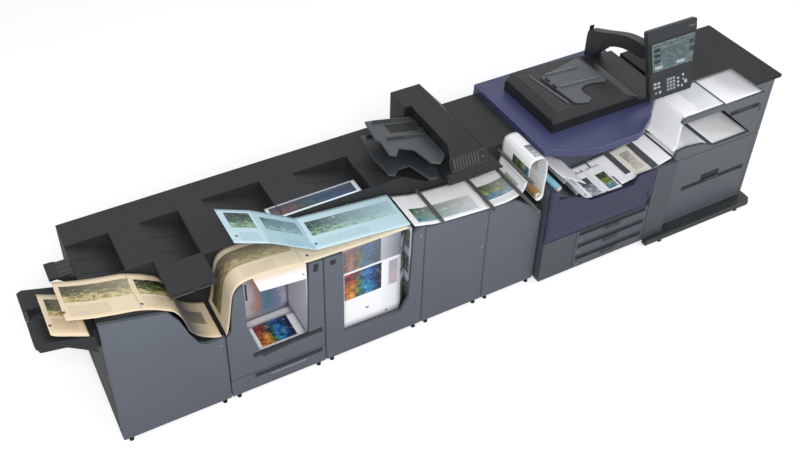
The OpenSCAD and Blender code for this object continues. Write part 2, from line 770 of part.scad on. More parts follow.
// ---- Paper feeder ----
feeder_body_y = feeder_y + door_t + seat_gap;
plate_y = feeder_y - 17;
drawer_side = 48;
drawer_wall = 12;
drawer_back = 590;
lower_box_low = feeder_base + 28;
lower_box_top = drawer_split - 40;
upper_box_low = drawer_split + 6;
top_deck_z = feeder_height - 100;
upper_box_top = top_deck_z - 40;
flow_x = feeder_x + 395;
pile_x0 = feeder_end - 411;
pile_x1 = feeder_end - 63;
pile_y0 = 2;
pile_y1 = 308;

drop_x = feeder_x + drawer_side;
deck_t = 34;

// What is cut away over the uppermost sheets, and the shaft where their run drops
module feeder_cuts() {
    look_in([feeder_x - 1, pile_y0, top_deck_z], [pile_x1, pile_y1, top_deck_z], 300);
    block([feeder_x - 1, feeder_body_y - 1, deck_z], [drop_x, pile_y1, feeder_height - 60]);
}

module feeder_body() {
    side = drawer_side - bay_room;
    back = drawer_back + bay_room;
    color(door_grey) placed() {
        difference() {
            block([feeder_x, feeder_body_y, feeder_base], [feeder_end, feeder_rear, feeder_height]);
            feeder_cuts();
            block([feeder_x + side, feeder_body_y - 1, lower_box_low - bay_room],
                [feeder_end - side, back, lower_box_top + bay_room]);
            block([feeder_x + side, feeder_body_y - 1, deck_z], [feeder_end - side, back, top_deck_z - deck_t]);
        }
        rails(feeder_x + drawer_side, feeder_end - drawer_side, feeder_body_y, drawer_back,
            lower_box_low - bay_room, lower_box_low - seat_gap);
        rails(feeder_x + drawer_side, feeder_end - drawer_side, pile_y1, drawer_back,
            deck_z, upper_box_low - seat_gap);
    }
}

// Open drawer box behind a feeder drawer's front
module drawer_box(z0, z1) {
    x0 = feeder_x + drawer_side;
    x1 = feeder_end - drawer_side;
    w = drawer_wall;
    difference() {
        block([x0, feeder_y + door_t, z0], [x1, drawer_back, z1]);
        block([x0 + w, feeder_y + door_t + w, z0 + w], [x1 - w, drawer_back - w, z1 + 1]);
    }
}

module feeder_drawer_lower() {
    z0 = feeder_base + 6;
    z1 = drawer_split - 3;
    color(door_grey) placed() {
        difference() {
            block([feeder_x, feeder_y, z0], [feeder_end, feeder_y + door_t, z1]);
            grip(feeder_x + 146, feeder_end - 77, feeder_y, z1 - 299, z1 - 275);
            grip(feeder_x + 315, feeder_end - 311, feeder_y, z1 - 276, z1 - 226);
        }
        drawer_box(lower_box_low, lower_box_top);
    }
}

// Upper drawer, broken out where the sheets lie and where they run to the engine
module feeder_drawer_upper() {
    z0 = drawer_split + 3;
    z1 = feeder_height - 6;
    front = drawer_split + 27;
    ledge = top_deck_z - deck_t;
    color(door_grey) placed() {
        difference() {
            upright(feeder_y, feeder_y + door_t, [[feeder_x, z0], [feeder_end, z0], [feeder_end, z1],
                [pile_x1 - 115, z1], [pile_x1, top_deck_z], [feeder_x + 12, top_deck_z],
                [feeder_x, top_deck_z - 12], [feeder_x, ledge], [pile_x0 - 10, ledge],
                [pile_x1 - 31, front + 2], [pile_x0 - 16, front], [flow_x - 152, front + 49],
                [flow_x - 304, front + 72], [feeder_x + 12, front + 60], [feeder_x, front + 12]]);
            grip(pile_x0 + 72, feeder_end - 91, feeder_y, z1 - 204, z1 - 180);
        }
        difference() {
            drawer_box(upper_box_low, upper_box_top);
            block([feeder_x, feeder_y + door_t, upper_box_low - 1], [pile_x1 + 2, pile_y1, upper_box_top + 1]);
        }
    }
}

module feeder_top_plate() {
    color(dark) placed() difference() {
        block([feeder_x, plate_y, feeder_height], [feeder_end + plate_over, feeder_rear, feeder_height + plate_t]);
        feeder_cuts();
    }
}

module feeder_plinth() {
    corner = 36;
    left = tray_x1 + 12;
    color(black) placed() translate([0, 0, plinth_low]) linear_extrude(plinth_t) polygon([
        [left, plinth_y], [plinth_right - corner, plinth_y], [plinth_right, plinth_y + corner],
        [plinth_right, feeder_rear], [feeder_x, feeder_rear], [feeder_x, engine_y - seat_gap],
        [left, engine_y - seat_gap]]);
}

module feeder_sheets() {
    seat = sheet_t / 2 + seat_gap;
    upper = top_deck_z + seat;
    lower = deck_z + seat;
    last = drawer_split + 46;
    run_y = feeder_body_y + 3;
    color(paper_white) placed() {
        sheet(pile_y0 + 1, pile_y1 - 5, [[pile_x1 - 6, upper], [pile_x0 + 14, upper]], steps = 1);
        sheet(run_y, pile_y1 - 5, [[pile_x0 - 2, upper], [drop_x + 60, upper], [drop_x - 1, upper],
            [drop_x - 16, upper - 12], [drop_x - 21, upper - 80], [drop_x - 22, upper - 230],
            [drop_x - 27, last + 60], [feeder_x + 4, last + 30]], steps = 4);
        sheet(run_y, pile_y1 - 5, [[pile_x1 - 6, lower], [pile_x0 + 27, lower]], steps = 1);
        sheet(run_y, pile_y1 - 5, [[pile_x0 - 6, lower], [pile_x0 - 190, lower], [pile_x0 - 260, lower + 2.5],
            [pile_x0 - 295, lower + 14], [feeder_x + 40, lower + 32], [feeder_x + 4, last]], steps = 4);
    }
}

// ---- Shared pieces ----
module levelling_feet() {
    inset = 46;
    modules = [[0, finisher_w], [booklet_x, booklet_w], [stacker_x, stacker_w],
        [folder_x, folder_w], [relay_x, relay_w]];
    color(black) placed() {
        for (m = modules) for (x = [m[0] + inset, m[0] + m[1] - inset])
            for (y = [housing_y + inset, module_depth - inset]) foot(x, y, floor_gap);
        for (x = [engine_x + inset, engine_right - inset])
            for (y = [engine_body_y + inset, engine_rear - inset]) foot(x, y, floor_gap);
        for (x = [feeder_x + inset, feeder_end - inset])
            for (y = [feeder_body_y + inset, feeder_rear - inset]) foot(x, y, plinth_low);
    }
}

// Bars across the paper path, which press on the sheets or carry them
module guide_bars() {
    color(black) placed() {
        roller_on(transport_line, 2, 1, -8, cut_rear);
        roller_on(transport_line, 3, 1, -46, cut_rear);
        roller_on(transport_line, 5, 1, -bar_reach, cut_rear);
        roller_on(transport_line, 7, 1, -60, cut_rear);
        roller_on(riser_line, 6, -1, housing_y, cut_rear);
        roller_on(riser_line, 8, -1, housing_y, cut_rear);
        roller_on(blue_line, 1, -1, housing_y, cut_rear);
    }
}

// Rollers that carry the sheets through the engine, on its rear wall
module engine_rollers() {
    color(black) placed() for (i = [1:2:9]) roller_on(engine_line, i, -1, engine_body_y, cut_rear);
}

finisher_cabinet();
finisher_front_door();
finisher_top_exit();
output_tray();
booklet_cabinet();
booklet_front_door();
booklet_drawer();
stacker_cabinet();
stacker_front_door();
folder_cabinet();
folder_front_door();
relay_cabinet();
relay_front_door();
inserter_housing();
inserter_upper_tray();
inserter_lower_tray();
engine_body();
engine_front_door();
engine_top_cover();
paper_tray_upper();
paper_tray_middle();
paper_tray_lower();
scanner_bed();
document_feeder();
document_tray();
panel_arm();
operator_panel();
feeder_body();
feeder_drawer_upper();
feeder_drawer_lower();
feeder_top_plate();
feeder_plinth();
levelling_feet();
guide_bars();
engine_rollers();
arch_rollers();
falling_sheet();
pocket_card();
delivered_pile();
cream_exit_sheets();
cream_riser_sheets();
blue_fold_sheets();
transport_sheets();
engine_sheets();
booklet_pile();
stacker_pile();
feeder_sheets();
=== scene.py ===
import math

import bmesh
import bpy
from mathutils import Matrix, Vector, noise


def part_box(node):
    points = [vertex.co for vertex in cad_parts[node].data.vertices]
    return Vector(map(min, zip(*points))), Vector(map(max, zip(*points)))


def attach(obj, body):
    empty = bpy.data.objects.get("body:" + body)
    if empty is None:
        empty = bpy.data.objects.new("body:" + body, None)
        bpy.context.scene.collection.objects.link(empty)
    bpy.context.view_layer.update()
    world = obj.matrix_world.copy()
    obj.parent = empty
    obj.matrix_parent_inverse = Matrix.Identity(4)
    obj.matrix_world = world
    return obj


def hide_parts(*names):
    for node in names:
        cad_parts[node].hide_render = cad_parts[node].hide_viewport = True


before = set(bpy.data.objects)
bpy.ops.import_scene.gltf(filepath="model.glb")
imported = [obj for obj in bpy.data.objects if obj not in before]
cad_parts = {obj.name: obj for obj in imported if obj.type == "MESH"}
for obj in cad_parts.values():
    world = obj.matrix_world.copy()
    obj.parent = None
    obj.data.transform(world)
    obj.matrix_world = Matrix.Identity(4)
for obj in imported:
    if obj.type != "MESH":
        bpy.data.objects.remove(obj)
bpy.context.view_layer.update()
scene = bpy.context.scene

# ---- Camera ----
# A long lens high at the left front, which looks down along the whole line.
# Its place is held to the left lower corner of the finisher's door.
yaw, pitch, roll = math.radians(27.80), math.radians(38.67), math.radians(0.32)
ahead = Vector((math.sin(yaw) * math.cos(pitch), math.cos(yaw) * math.cos(pitch), -math.sin(pitch)))
level = Vector((math.cos(yaw), -math.sin(yaw), 0))
upward = level.cross(ahead)
across = math.cos(roll) * level + math.sin(roll) * upward
upright = -math.sin(roll) * level + math.cos(roll) * upward
lens = bpy.data.cameras.new("camera")
lens.lens, lens.sensor_width, lens.sensor_fit = 45.56, 36, "HORIZONTAL"
lens.shift_x, lens.shift_y = 0.04375, -0.10125
lens.clip_end = 100
camera = bpy.data.objects.new("camera", lens)
door_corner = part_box("finisher_front_door")[0]
stand = Vector((door_corner.x - 0.4141, door_corner.y - 3.7289, 4.9819))
camera.matrix_world = Matrix.Translation(stand) @ Matrix((across, upright, -ahead)).transposed().to_4x4()
scene.collection.objects.link(camera)
scene.camera = camera

# ---- Floor and studio light ----
# A seamless white floor, two broad soft lamps in front and an even pale room.
# The floor glows a little for the lens alone, so that it stays white under the line.
scene.view_settings.view_transform = "Standard"


class Signal:
    """An output of a shader node that sums like a number."""

    def __init__(self, socket):
        self.socket = socket

    def math(self, operation, *values):
        return Signal(node(self.socket.id_data, "ShaderNodeMath", dict(enumerate((self, *values))),
                           operation=operation).outputs[0])

    def __add__(self, other):
        return self.math("ADD", other)

    def __sub__(self, other):
        return self.math("SUBTRACT", other)

    def __mul__(self, other):
        return self.math("MULTIPLY", other)

    def __truediv__(self, other):
        return self.math("DIVIDE", other)


def shade(code):
    """Linear colour of a paint's code."""
    parts = [int(code[i:i + 2], 16) / 255 for i in (1, 3, 5)]
    return tuple(c / 12.92 if c < 0.04045 else ((c + 0.055) / 1.055) ** 2.4 for c in parts)


def wire(made, values):
    """Joins outputs to a node's inputs, or sets the inputs' own numbers and colours."""
    for key, value in values.items():
        socket = made.inputs[key]
        if isinstance(value, Signal):
            value = value.socket
        elif isinstance(value, str):
            value = shade(value)
        if isinstance(value, bpy.types.NodeSocket):
            made.id_data.links.new(value, socket)
        else:
            socket.default_value = (*value, 1) if socket.type == "RGBA" else value


def node(tree, kind, values=None, **settings):
    """Adds a shader node with its settings and what its inputs take."""
    made = tree.nodes.new(kind)
    for key, value in settings.items():
        setattr(made, key, value)
    wire(made, values or {})
    return made


def bare_tree(owner):
    owner.use_nodes = True
    owner.node_tree.nodes.clear()
    return owner.node_tree


floor_mat = bpy.data.materials.new("studio_floor")
tree = bare_tree(floor_mat)
dust = node(tree, "ShaderNodeTexNoise", {"Scale": 0.6}).outputs[0]
soft_white = node(tree, "ShaderNodeMix", {"Factor": dust, "A": (0.8, 0.8, 0.8), "B": (0.84, 0.84, 0.84)},
                  data_type="RGBA").outputs["Result"]
seen = Signal(node(tree, "ShaderNodeLightPath").outputs["Is Camera Ray"])
sweep = node(tree, "ShaderNodeBsdfDiffuse", {"Color": soft_white}).outputs[0]
glow = node(tree, "ShaderNodeEmission", {"Strength": seen * 0.45}).outputs[0]
both = node(tree, "ShaderNodeAddShader", {0: sweep, 1: glow}).outputs[0]
node(tree, "ShaderNodeOutputMaterial", {"Surface": both})
floor_mesh = bpy.data.meshes.new("studio_floor")
floor_mesh.from_pydata([(-30, -30, 0), (30, -30, 0), (30, 40, 0), (-30, 40, 0)], [], [(0, 1, 2, 3)])
floor_mesh.materials.append(floor_mat)
floor = bpy.data.objects.new("studio_floor", floor_mesh)
scene.collection.objects.link(floor)

scene.world = bpy.data.worlds.new("room")
tree = bare_tree(scene.world)
air = node(tree, "ShaderNodeBackground", {"Color": (0.95, 0.97, 1.0), "Strength": 0.5}).outputs[0]
white = node(tree, "ShaderNodeBackground", {"Color": (1, 1, 1), "Strength": 1.0}).outputs[0]
rays = node(tree, "ShaderNodeLightPath").outputs
sight = Signal(rays["Is Camera Ray"])
for name in ("Is Glossy Ray", "Is Transmission Ray"):
    sight = sight.math("MAXIMUM", rays[name])
pick = node(tree, "ShaderNodeMixShader", {0: sight, 1: air, 2: white}).outputs[0]
node(tree, "ShaderNodeOutputWorld", {"Surface": pick})

for name, place, target, size, watts in (("key_light", (4.6, -6.0, 6.5), (0.3, 0, 0.7), 5.0, 170),
                                         ("front_fill", (-2.8, -5.6, 6.4), (0.9, 0, 0.8), 2.4, 380)):
    data = bpy.data.lights.new(name, "AREA")
    data.shape, data.size, data.energy = "DISK", size, watts
    lamp = bpy.data.objects.new(name, data)
    lamp.location = place
    lamp.rotation_euler = (Vector(target) - Vector(place)).to_track_quat("-Z", "Y").to_euler()
    scene.collection.objects.link(lamp)

# ---- Housings of the five finishing modules ----
# Folded steel cabinets under dark moulded tops, docked side by side behind their doors.
# Paint and plastic share a fine grain and a slight unevenness over each panel.
left_end, front_face = door_corner.x, door_corner.y
MM = 0.001


def at(x, y, z):
    """A place in the line's own millimetres: from its left end, its doors' face and the floor."""
    return Vector((left_end + x * MM, front_face + y * MM, z * MM))


def span(name):
    """Lowest and highest corner of a CAD node in the line's own millimetres."""
    return tuple((corner - at(0, 0, 0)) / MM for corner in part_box(name))


def effect(name, inputs, outputs):
    """A shared group: an input is its first number, or the kind of its socket."""
    group = bpy.data.node_groups.new(name, "ShaderNodeTree")
    for label, value in inputs.items():
        kind = value if isinstance(value, str) else "Float"
        socket = group.interface.new_socket(label, in_out="INPUT", socket_type="NodeSocket" + kind)
        if kind == "Float":
            socket.default_value = value
    for label, kind in outputs.items():
        group.interface.new_socket(label, in_out="OUTPUT", socket_type="NodeSocket" + kind)
    given = {socket.name: Signal(socket) for socket in node(group, "NodeGroupInput").outputs if socket.name}
    return group, given, node(group, "NodeGroupOutput")


def apply(group, tree, values):
    return node(tree, "ShaderNodeGroup", values, node_tree=group).outputs


def mix(share, a, b, way="MIX"):
    tree = next(value.socket.id_data for value in (share, a, b) if isinstance(value, Signal))
    return Signal(node(tree, "ShaderNodeMix", {0: share, 6: a, 7: b}, data_type="RGBA", blend_type=way).outputs[2])


def cloud(where, scale, detail=3.0, rough=0.55):
    values = {"Vector": where, "Scale": scale, "Detail": detail, "Roughness": rough}
    return Signal(node(where.socket.id_data, "ShaderNodeTexNoise", values).outputs[0])


def between(value, low, high, to_low=0.0, to_high=1.0):
    values = dict(enumerate((value, low, high, to_low, to_high)))
    return Signal(node(value.socket.id_data, "ShaderNodeMapRange", values).outputs[0])


def split(where):
    """The three parts of a vector."""
    return [Signal(part) for part in node(where.socket.id_data, "ShaderNodeSeparateXYZ", {0: where}).outputs]


skin, given, out = effect(
    "panel_skin", {"Vector": "Vector", "Color": "Color", "Low Color": "Color", "Top": 1.0, "Grain": 900.0, "Dust": 0.1},
    {"Color": "Color", "Roughness": "Float", "Height": "Float"})
where = given["Vector"]
paint = mix(between(split(where)[2] / given["Top"], 0.95, 0.15), given["Color"], given["Low Color"])
uneven = cloud(where, 2.3, 4)
paint = mix(between(uneven, 0.35, 0.75, 0, 0.5), paint, mix(1.0, paint, (1.3, 1.3, 1.3), "MULTIPLY"))
settled = between(cloud(where, 55.0, 5, 0.7), 0.56, 0.75) * given["Dust"]
wire(out, {"Color": mix(settled, paint, (0.45, 0.45, 0.44)), "Roughness": between(uneven, 0.3, 0.7, 0.36, 0.52),
           "Height": cloud(where, given["Grain"], 2)})


def finish(name, build):
    """A material whose shader takes what build gives for its inputs."""
    mat = bpy.data.materials.new(name)
    mat.use_nodes = True
    wire(mat.node_tree.nodes["Principled BSDF"], build(mat.node_tree))
    return mat


def relief(height, strength, distance):
    """A bumped normal from a height, over a distance in metres."""
    return node(height.id_data, "ShaderNodeBump",
                {"Strength": strength, "Distance": distance, "Height": height}).outputs[0]


def surface(name, colour, low=None, top=1.0, grain=900.0, dust=0.06, metal=0.0, rough=None, coat=0.0, shine=0.5):
    """A painted or moulded finish; low is its colour towards the floor."""
    def build(tree):
        place = node(tree, "ShaderNodeTexCoord").outputs["Object"]
        body = apply(skin, tree, {"Vector": place, "Color": colour, "Low Color": low or colour,
                                  "Top": top, "Grain": grain, "Dust": dust})
        gloss = body["Roughness"] if rough is None else between(Signal(body["Roughness"]), 0.36, 0.52,
                                                                rough, rough + 0.1)
        return {"Base Color": body["Color"], "Roughness": gloss, "Normal": relief(body["Height"], 0.25, 0.0004),
                "Metallic": metal, "Coat Weight": coat, "Specular IOR Level": shine}

    return finish(name, build)


def dress(mat, *names):
    """Gives one finish to CAD nodes."""
    for name in names:
        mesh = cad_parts[name].data
        mesh.materials.clear()
        mesh.materials.append(mat)


bench = bmesh.new()


def keep(name, mat, body="line", replaces=()):
    """Makes what lies on the bench a piece of the line that rides on one of its bodies."""
    bmesh.ops.recalc_face_normals(bench, faces=bench.faces)
    data = bpy.data.meshes.new(name)
    bench.to_mesh(data)
    bench.clear()
    for m in mat if isinstance(mat, list) else [mat]:
        data.materials.append(m)
    made = bpy.data.objects.new(name, data)
    scene.collection.objects.link(made)
    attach(made, body)
    if replaces:
        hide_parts(*replaces)


def soften(edges, width, steps=2):
    """Rounds edges over a width in millimetres."""
    bmesh.ops.bevel(bench, geom=list(dict.fromkeys(edges)), offset=width * MM, segments=steps, profile=0.6,
                    affect="EDGES", clamp_overlap=True, material=-1)


def slab(low, high, edge=1.5, steps=2, turn=None, mat=0):
    """Adds a block with rounded edges, in the line's millimetres or in those of a turned plane."""
    a, b = (Vector(low) * MM, Vector(high) * MM) if turn else (at(*low), at(*high))
    verts = [bench.verts.new((x, y, z)) for x in (a.x, b.x) for y in (a.y, b.y) for z in (a.z, b.z)]
    faces = [bench.faces.new([verts[i] for i in f]) for f in (
        (0, 1, 3, 2), (4, 6, 7, 5), (0, 4, 5, 1), (2, 3, 7, 6), (0, 2, 6, 4), (1, 5, 7, 3))]
    if turn:
        bmesh.ops.transform(bench, matrix=turn, verts=verts)
    for f in faces:
        f.material_index = mat
    if edge:
        soften([e for f in faces for e in f.edges], edge, steps)


def shape(outline, low, high, edge=1.0, turn=None, mat=0):
    """Adds a plate with an outline in X and Y of a plane, between two heights over it."""
    rings = [[bench.verts.new(turn @ (Vector((x, y, z)) * MM) if turn else at(x, y, z)) for x, y in outline]
             for z in (low, high)]
    faces = [bench.faces.new(ring) for ring in rings]
    lower, upper = rings
    for i, j in zip(range(len(outline)), [*range(1, len(outline)), 0]):
        faces.append(bench.faces.new([lower[i], lower[j], upper[j], upper[i]]))
    for f in faces:
        f.material_index = mat
    soften(faces[1].edges, edge)


def rounded(node_name, mat, edge, body="line", steps=3):
    """A moulded copy of a CAD node with soft edges, shown in its place."""
    bench.from_mesh(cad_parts[node_name].data)
    bench.transform(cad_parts[node_name].matrix_world)
    weld, flat, sharp = 0.00005, math.radians(1.5), math.radians(25)
    bmesh.ops.remove_doubles(bench, verts=bench.verts, dist=weld)
    bmesh.ops.dissolve_limit(bench, angle_limit=flat, verts=bench.verts, edges=bench.edges)
    soften([e for e in bench.edges if len(e.link_faces) == 2 and e.calc_face_angle(0) > sharp], edge, steps)
    keep(node_name + "_moulding", mat, body, [node_name])


def rod(start, end, r, sides=28, edge=1.0, turn=None, mat=0):
    """Adds a round bar between two places, with its ends' edges rounded."""
    p, q = (Vector(start) * MM, Vector(end) * MM) if turn else (at(*start), at(*end))
    spin = (q - p).to_track_quat("Z", "Y").to_matrix().to_4x4()
    made = bmesh.ops.create_cone(bench, cap_ends=True, segments=sides, radius1=r * MM, radius2=r * MM,
                                 depth=(q - p).length,
                                 matrix=(turn or Matrix()) @ Matrix.Translation((p + q) / 2) @ spin)
    faces = dict.fromkeys(f for v in made["verts"] for f in v.link_faces)
    for f in faces:
        f.material_index, f.smooth = mat, len(f.verts) == 4
    if edge:
        soften([e for f in faces if len(f.verts) > 4 for e in f.edges], edge)


def turned(angle, axis, x, y, z):
    """A plane set at a place of the line and turned about one axis."""
    return Matrix.Translation(at(x, y, z)) @ Matrix.Rotation(angle, 4, axis)


MH = span("stacker_cabinet")[1].z
module_names = ("finisher", "booklet", "stacker", "folder", "relay")
top_plastic = surface("top_plastic", "#2B2C2D", dust=0.04, rough=0.5, shine=0.3)
pit_black = surface("pit_black", "#101112", dust=0.02, rough=0.6)
trim_black = surface("trim_black", "#121415", dust=0.02, rough=0.4)
dress(top_plastic, "finisher_top_exit", *(name + "_cabinet" for name in module_names))

# Pocket rims: soft raised lips moulded round the output pockets, with two runners on each floor.
pocket_rear, pocket_front, pocket_drop, lip = 650, 320, 89, 2.4
finisher_w, booklet_end, stacker_end = (span(name + "_front_door")[1].x for name in module_names[:3])
booklet_x, stacker_x, folder_x, relay_x = (span(name + "_front_door")[0].x for name in module_names[1:])
for x0, x1, y0, y1 in ((0, 250, pocket_front, pocket_rear), (430, finisher_w, 262, pocket_rear),
                       (booklet_x + 147, stacker_x - 106, pocket_front, pocket_rear + 25),
                       (stacker_x + 104, stacker_end - 199, pocket_front, pocket_rear)):
    slab((x0 + 6, y1, MH), (x1 + 7, y1 + 7, MH + lip), 1.1)
    slab((x1, y0 + 20, MH), (x1 + 7, y1, MH + lip), 1.1)
    for share in (0.32, 0.68):
        slope = turned(math.atan2(pocket_drop, x1 - x0), "Y", x0, y0 + (y1 - y0) * share, MH - 6)
        slab((30, -3, 0.2), ((x1 - x0) * 0.9, 3, 2.2), 0.8, turn=slope)
keep("pocket_rims", top_plastic)

# Seams and slots of the tops: dark joints between modules and the slots under the cover's front edge.
for x in (booklet_x, stacker_x, folder_x, relay_x):
    slab((x - 4.2, 318, MH - 3), (x - 1.8, 849, MH + 0.5), 0.2)
for x0, x1 in ((410, 536), (570, 632)):
    slab((x0, 28.2, MH - 27), (x1, 29.8, MH - 7), 0.5)
    slab((x0 + 3, 27.4, MH - 31), (x1 - 3, 29.5, MH - 28.4), 0.5, mat=1)
for i in range(5):
    slab((445 + i * 19, 262.5, MH - 88 + i * 0.1), (452 + i * 19, 264.5, MH - 60), 0.6)
slot_grey = surface("slot_grey", "#6E7072")
keep("top_slots", [pit_black, slot_grey])

# ---- Doors, booklet drawer and their fittings ----
# Pressed steel doors in a blue-grey paint, rounded at the hinge and a touch more violet below.
# They swing out on the pins at their sides; grips are lined with black plastic pushed into the steel.
door_paint = surface("door_paint", "#585F68", "#50545F", dust=0.04)
dress(door_paint, "booklet_drawer", *(name + "_front_door" for name in module_names))
window_low = 232

# Booklet door: a black slot beside the window, a latch plate, and the grip's lining.
slab((booklet_x + 137, -0.9, 806), (booklet_x + 149, 1.0, 932), 1.2)
shape([(552, 838), (582, 836), (588, 893), (558, 897)], -1.2, 0.6, 0.6,
      turned(math.pi / 2, "X", booklet_x, 0, 0) @ Matrix.Scale(-1, 4, (0, 0, 1)))
grip_x0, grip_x1 = booklet_x + 155, booklet_end - 19
slab((grip_x0, 2.5, window_low + 92.5), (grip_x1, 13.0, window_low + 109), 0.8)
slab((grip_x0, -0.8, window_low + 91.2), (grip_x1, 3.0, window_low + 93.6), 0.8, mat=1)
for x in (grip_x0 + 2, grip_x1 - 42):
    slab((x, 0.8, window_low + 94), (x + 40, 9, window_low + 108))
for z in (window_low + 82, window_low + 110):
    slab((grip_x0 - 6, -1.6, z), (grip_x1 + 4, 0.6, z + 9), 0.9)
keep("booklet_door_fittings", [trim_black, door_paint], "booklet_door")

# Booklet drawer: its grip's lining, and a light grey strip below it that is a painted highlight.
grip_top = span("booklet_drawer")[1].z - 10
slab((grip_x0, 2.5, grip_top - 17.5), (grip_x1 - 4, 13.0, grip_top - 1), 0.8)
for x in (grip_x0 + 2, grip_x0 + 150, grip_x1 - 150):
    slab((x, 0.8, grip_top - 16.5), (x + 110, 9, grip_top - 1.5), 2)
slab((grip_x0 - 6, -1.6, grip_top - 34), (grip_x1 + 2, 0.6, grip_top - 19), 0.9)
# Painted highlight: a light grey strip on the drawer's face below the grip.
slab((booklet_x + 252, -1.5, 112), (booklet_x + 488, 0.8, 120), 1.4, mat=1)
keep("booklet_drawer_fittings", [trim_black, surface("painted_highlight_grey", "#8A9098")], "booklet_drawer_box")

# Stacker door: a small latch plate by the hinge and a lock.
slab((stacker_x + 39, -1.2, 842), (stacker_x + 75, 0.8, 880))
x = stacker_end - 25
rod((x, 0.4, 815), (x, -2.2, 815), 7, mat=1)
slab((x - 1.4, -2.8, 811), (x + 1.4, -2.0, 819), 0.3)
lock_steel = surface("lock_steel", "#A8ABAD", metal=0.9, rough=0.25)
keep("stacker_door_fittings", [trim_black, lock_steel], "stacker_door")

# Locks on the folder's, relay's and finisher's doors, and a finger edge along each free side.
for name in ("folder", "relay", "finisher"):
    x = span(name + "_front_door")[1].x
    rod((x - 26, 0.4, 520), (x - 26, -2.0, 520), 6.5, mat=1)
    slab((x - 27.3, -2.6, 516.2), (x - 24.7, -1.9, 523.8), 0.3)
    slab((x - 6, -1.0, 70), (x - 3.4, 0.6, 560), 0.7, mat=2)
    keep(name + "_door_lock", [trim_black, lock_steel, door_paint], name + "_door")

# ---- Booklet window ----
# The recess is lined in a pale finish; its rear lining carries a pale gradient painted as light from behind, and a
# faint many-coloured painted reflection.
# Stapled booklets lie in the pile at its foot, and one sheet falls from the run above them.
def inside(value, low, high, soft=0.0012):
    """1 between two limits, with a narrow soft edge."""
    return between(value, low, low + soft) * between(value, high, high + soft, 1, 0)


def patch(u, v, left, right, low, high, soft=0.0012):
    """1 inside a box of the print."""
    return inside(u, left, right, soft) * inside(v, low, high, soft)


# A soft made-up landscape in warm and cool bands, for the pages shown in the windows.
vista, given, out = effect("vista", {"Vector": "Vector", "Left": 0.0, "Right": 0.3, "Low": 0.0, "High": 0.2},
                           {"Color": "Color", "Inside": "Float"})
where = given["Vector"]
u, v, _ = split(where)
share_v = between(v, given["Low"], given["High"])
drift = cloud(where, 13.0, 4, 0.6)
warped = between(u, given["Left"], given["Right"]) + (drift - 0.5) * 0.55
bands = []
for colours in (("#C9782E", "#D88E38", "#3E7A46", "#2A8FD0", "#19264F"),
                ("#7E2F3C", "#A0303A", "#4B6E66", "#2E76C0", "#1B1F42")):
    ramp = node(vista, "ShaderNodeValToRGB", {0: warped})
    stops = ramp.color_ramp.elements
    stops[1].position = 0.90
    for position in (0.22, 0.42, 0.60):
        stops.new(position)
    for stop, code in zip(stops, colours):
        stop.color = (*shade(code), 1)
    bands.append(ramp.outputs[0])
fine = cloud(where, 27.0, 6, 0.72)
view = mix(between(share_v + drift * 0.4, 0.55, 0.95), *bands)
view = mix(between(fine, 0.47, 0.6, 0, 0.92), view, "#0D101C")
view = mix(between(fine, 0.42, 0.34, 0, 0.55), view, "#F0DDAA")
wire(out, {"Color": view, "Inside": patch(u, v, given["Left"], given["Right"], given["Low"], given["High"])})


def view_of(place, left, right, low, high):
    """The landscape laid into a box of the print, and the box's own mask."""
    made = apply(vista, place.socket.id_data,
                 {"Vector": place, "Left": left, "Right": right, "Low": low, "High": high})
    return Signal(made["Color"]), Signal(made["Inside"])


def sheet_mat(name, draw, rough=0.42):
    """A coated sheet whose colour is drawn over the run's UV map, in metres."""
    def build(tree):
        place = Signal(node(tree, "ShaderNodeUVMap", uv_map="run").outputs[0])
        return {"Base Color": draw(place, *split(place)[:2]), "Roughness": rough,
                "Normal": relief(cloud(place, 700.0, 2).socket, 0.15, 0.0002)}

    return finish(name, build)


def grid_of(cells, place, print_at, mat=0, rim=True):
    """Adds a sheet of two layers from the places of its cells' corners and where they lie in its print."""
    uv = bench.loops.layers.uv.get("run") or bench.loops.layers.uv.new("run")
    wide, long = cells
    grid = {(i, j, k): bench.verts.new(place(i, j, k))
            for i in range(wide + 1) for j in range(long + 1) for k in (0, 1)}
    quads = []
    for i in range(wide):
        for j in range(long):
            quads += [((i, j, 0), (i + 1, j, 0), (i + 1, j + 1, 0), (i, j + 1, 0)),
                      ((i, j, 1), (i, j + 1, 1), (i + 1, j + 1, 1), (i + 1, j, 1))]
        quads += [((i, j, 0), (i, j, 1), (i + 1, j, 1), (i + 1, j, 0)) for j in (0, long) if rim]
    quads += [((i, j, 0), (i, j + 1, 0), (i, j + 1, 1), (i, j, 1)) for j in range(long) for i in (0, wide) if rim]
    for keys in quads:
        face = bench.faces.new([grid[key] for key in keys])
        face.material_index, face.smooth = mat, True
        for loop, (i, j, _) in zip(face.loops, keys):
            loop[uv].uv = print_at(i, j)


def leaf(corner, right, rise, size, thick=1.0, ripple=0.0, mat=0, cells=(12, 10), seed=0.0, curl=0.0):
    """Adds a sheet from a corner along two directions; its UV map holds metres from the corner."""
    right, rise = Vector(right).normalized(), Vector(rise).normalized()

    def place(i, j, layer):
        s, t = size[0] * i / cells[0], size[1] * j / cells[1]
        lift = ripple * noise.noise(Vector((s * 0.012, t * 0.012, seed))) + curl * (1 - i / cells[0]) ** 2
        return at(*(Vector(corner) + right * s + rise * t + right.cross(rise) * (lift + thick * (0.5 - layer))))

    grid_of(cells, place, lambda i, j: (size[0] * i / cells[0] * MM, size[1] * j / cells[1] * MM), mat)


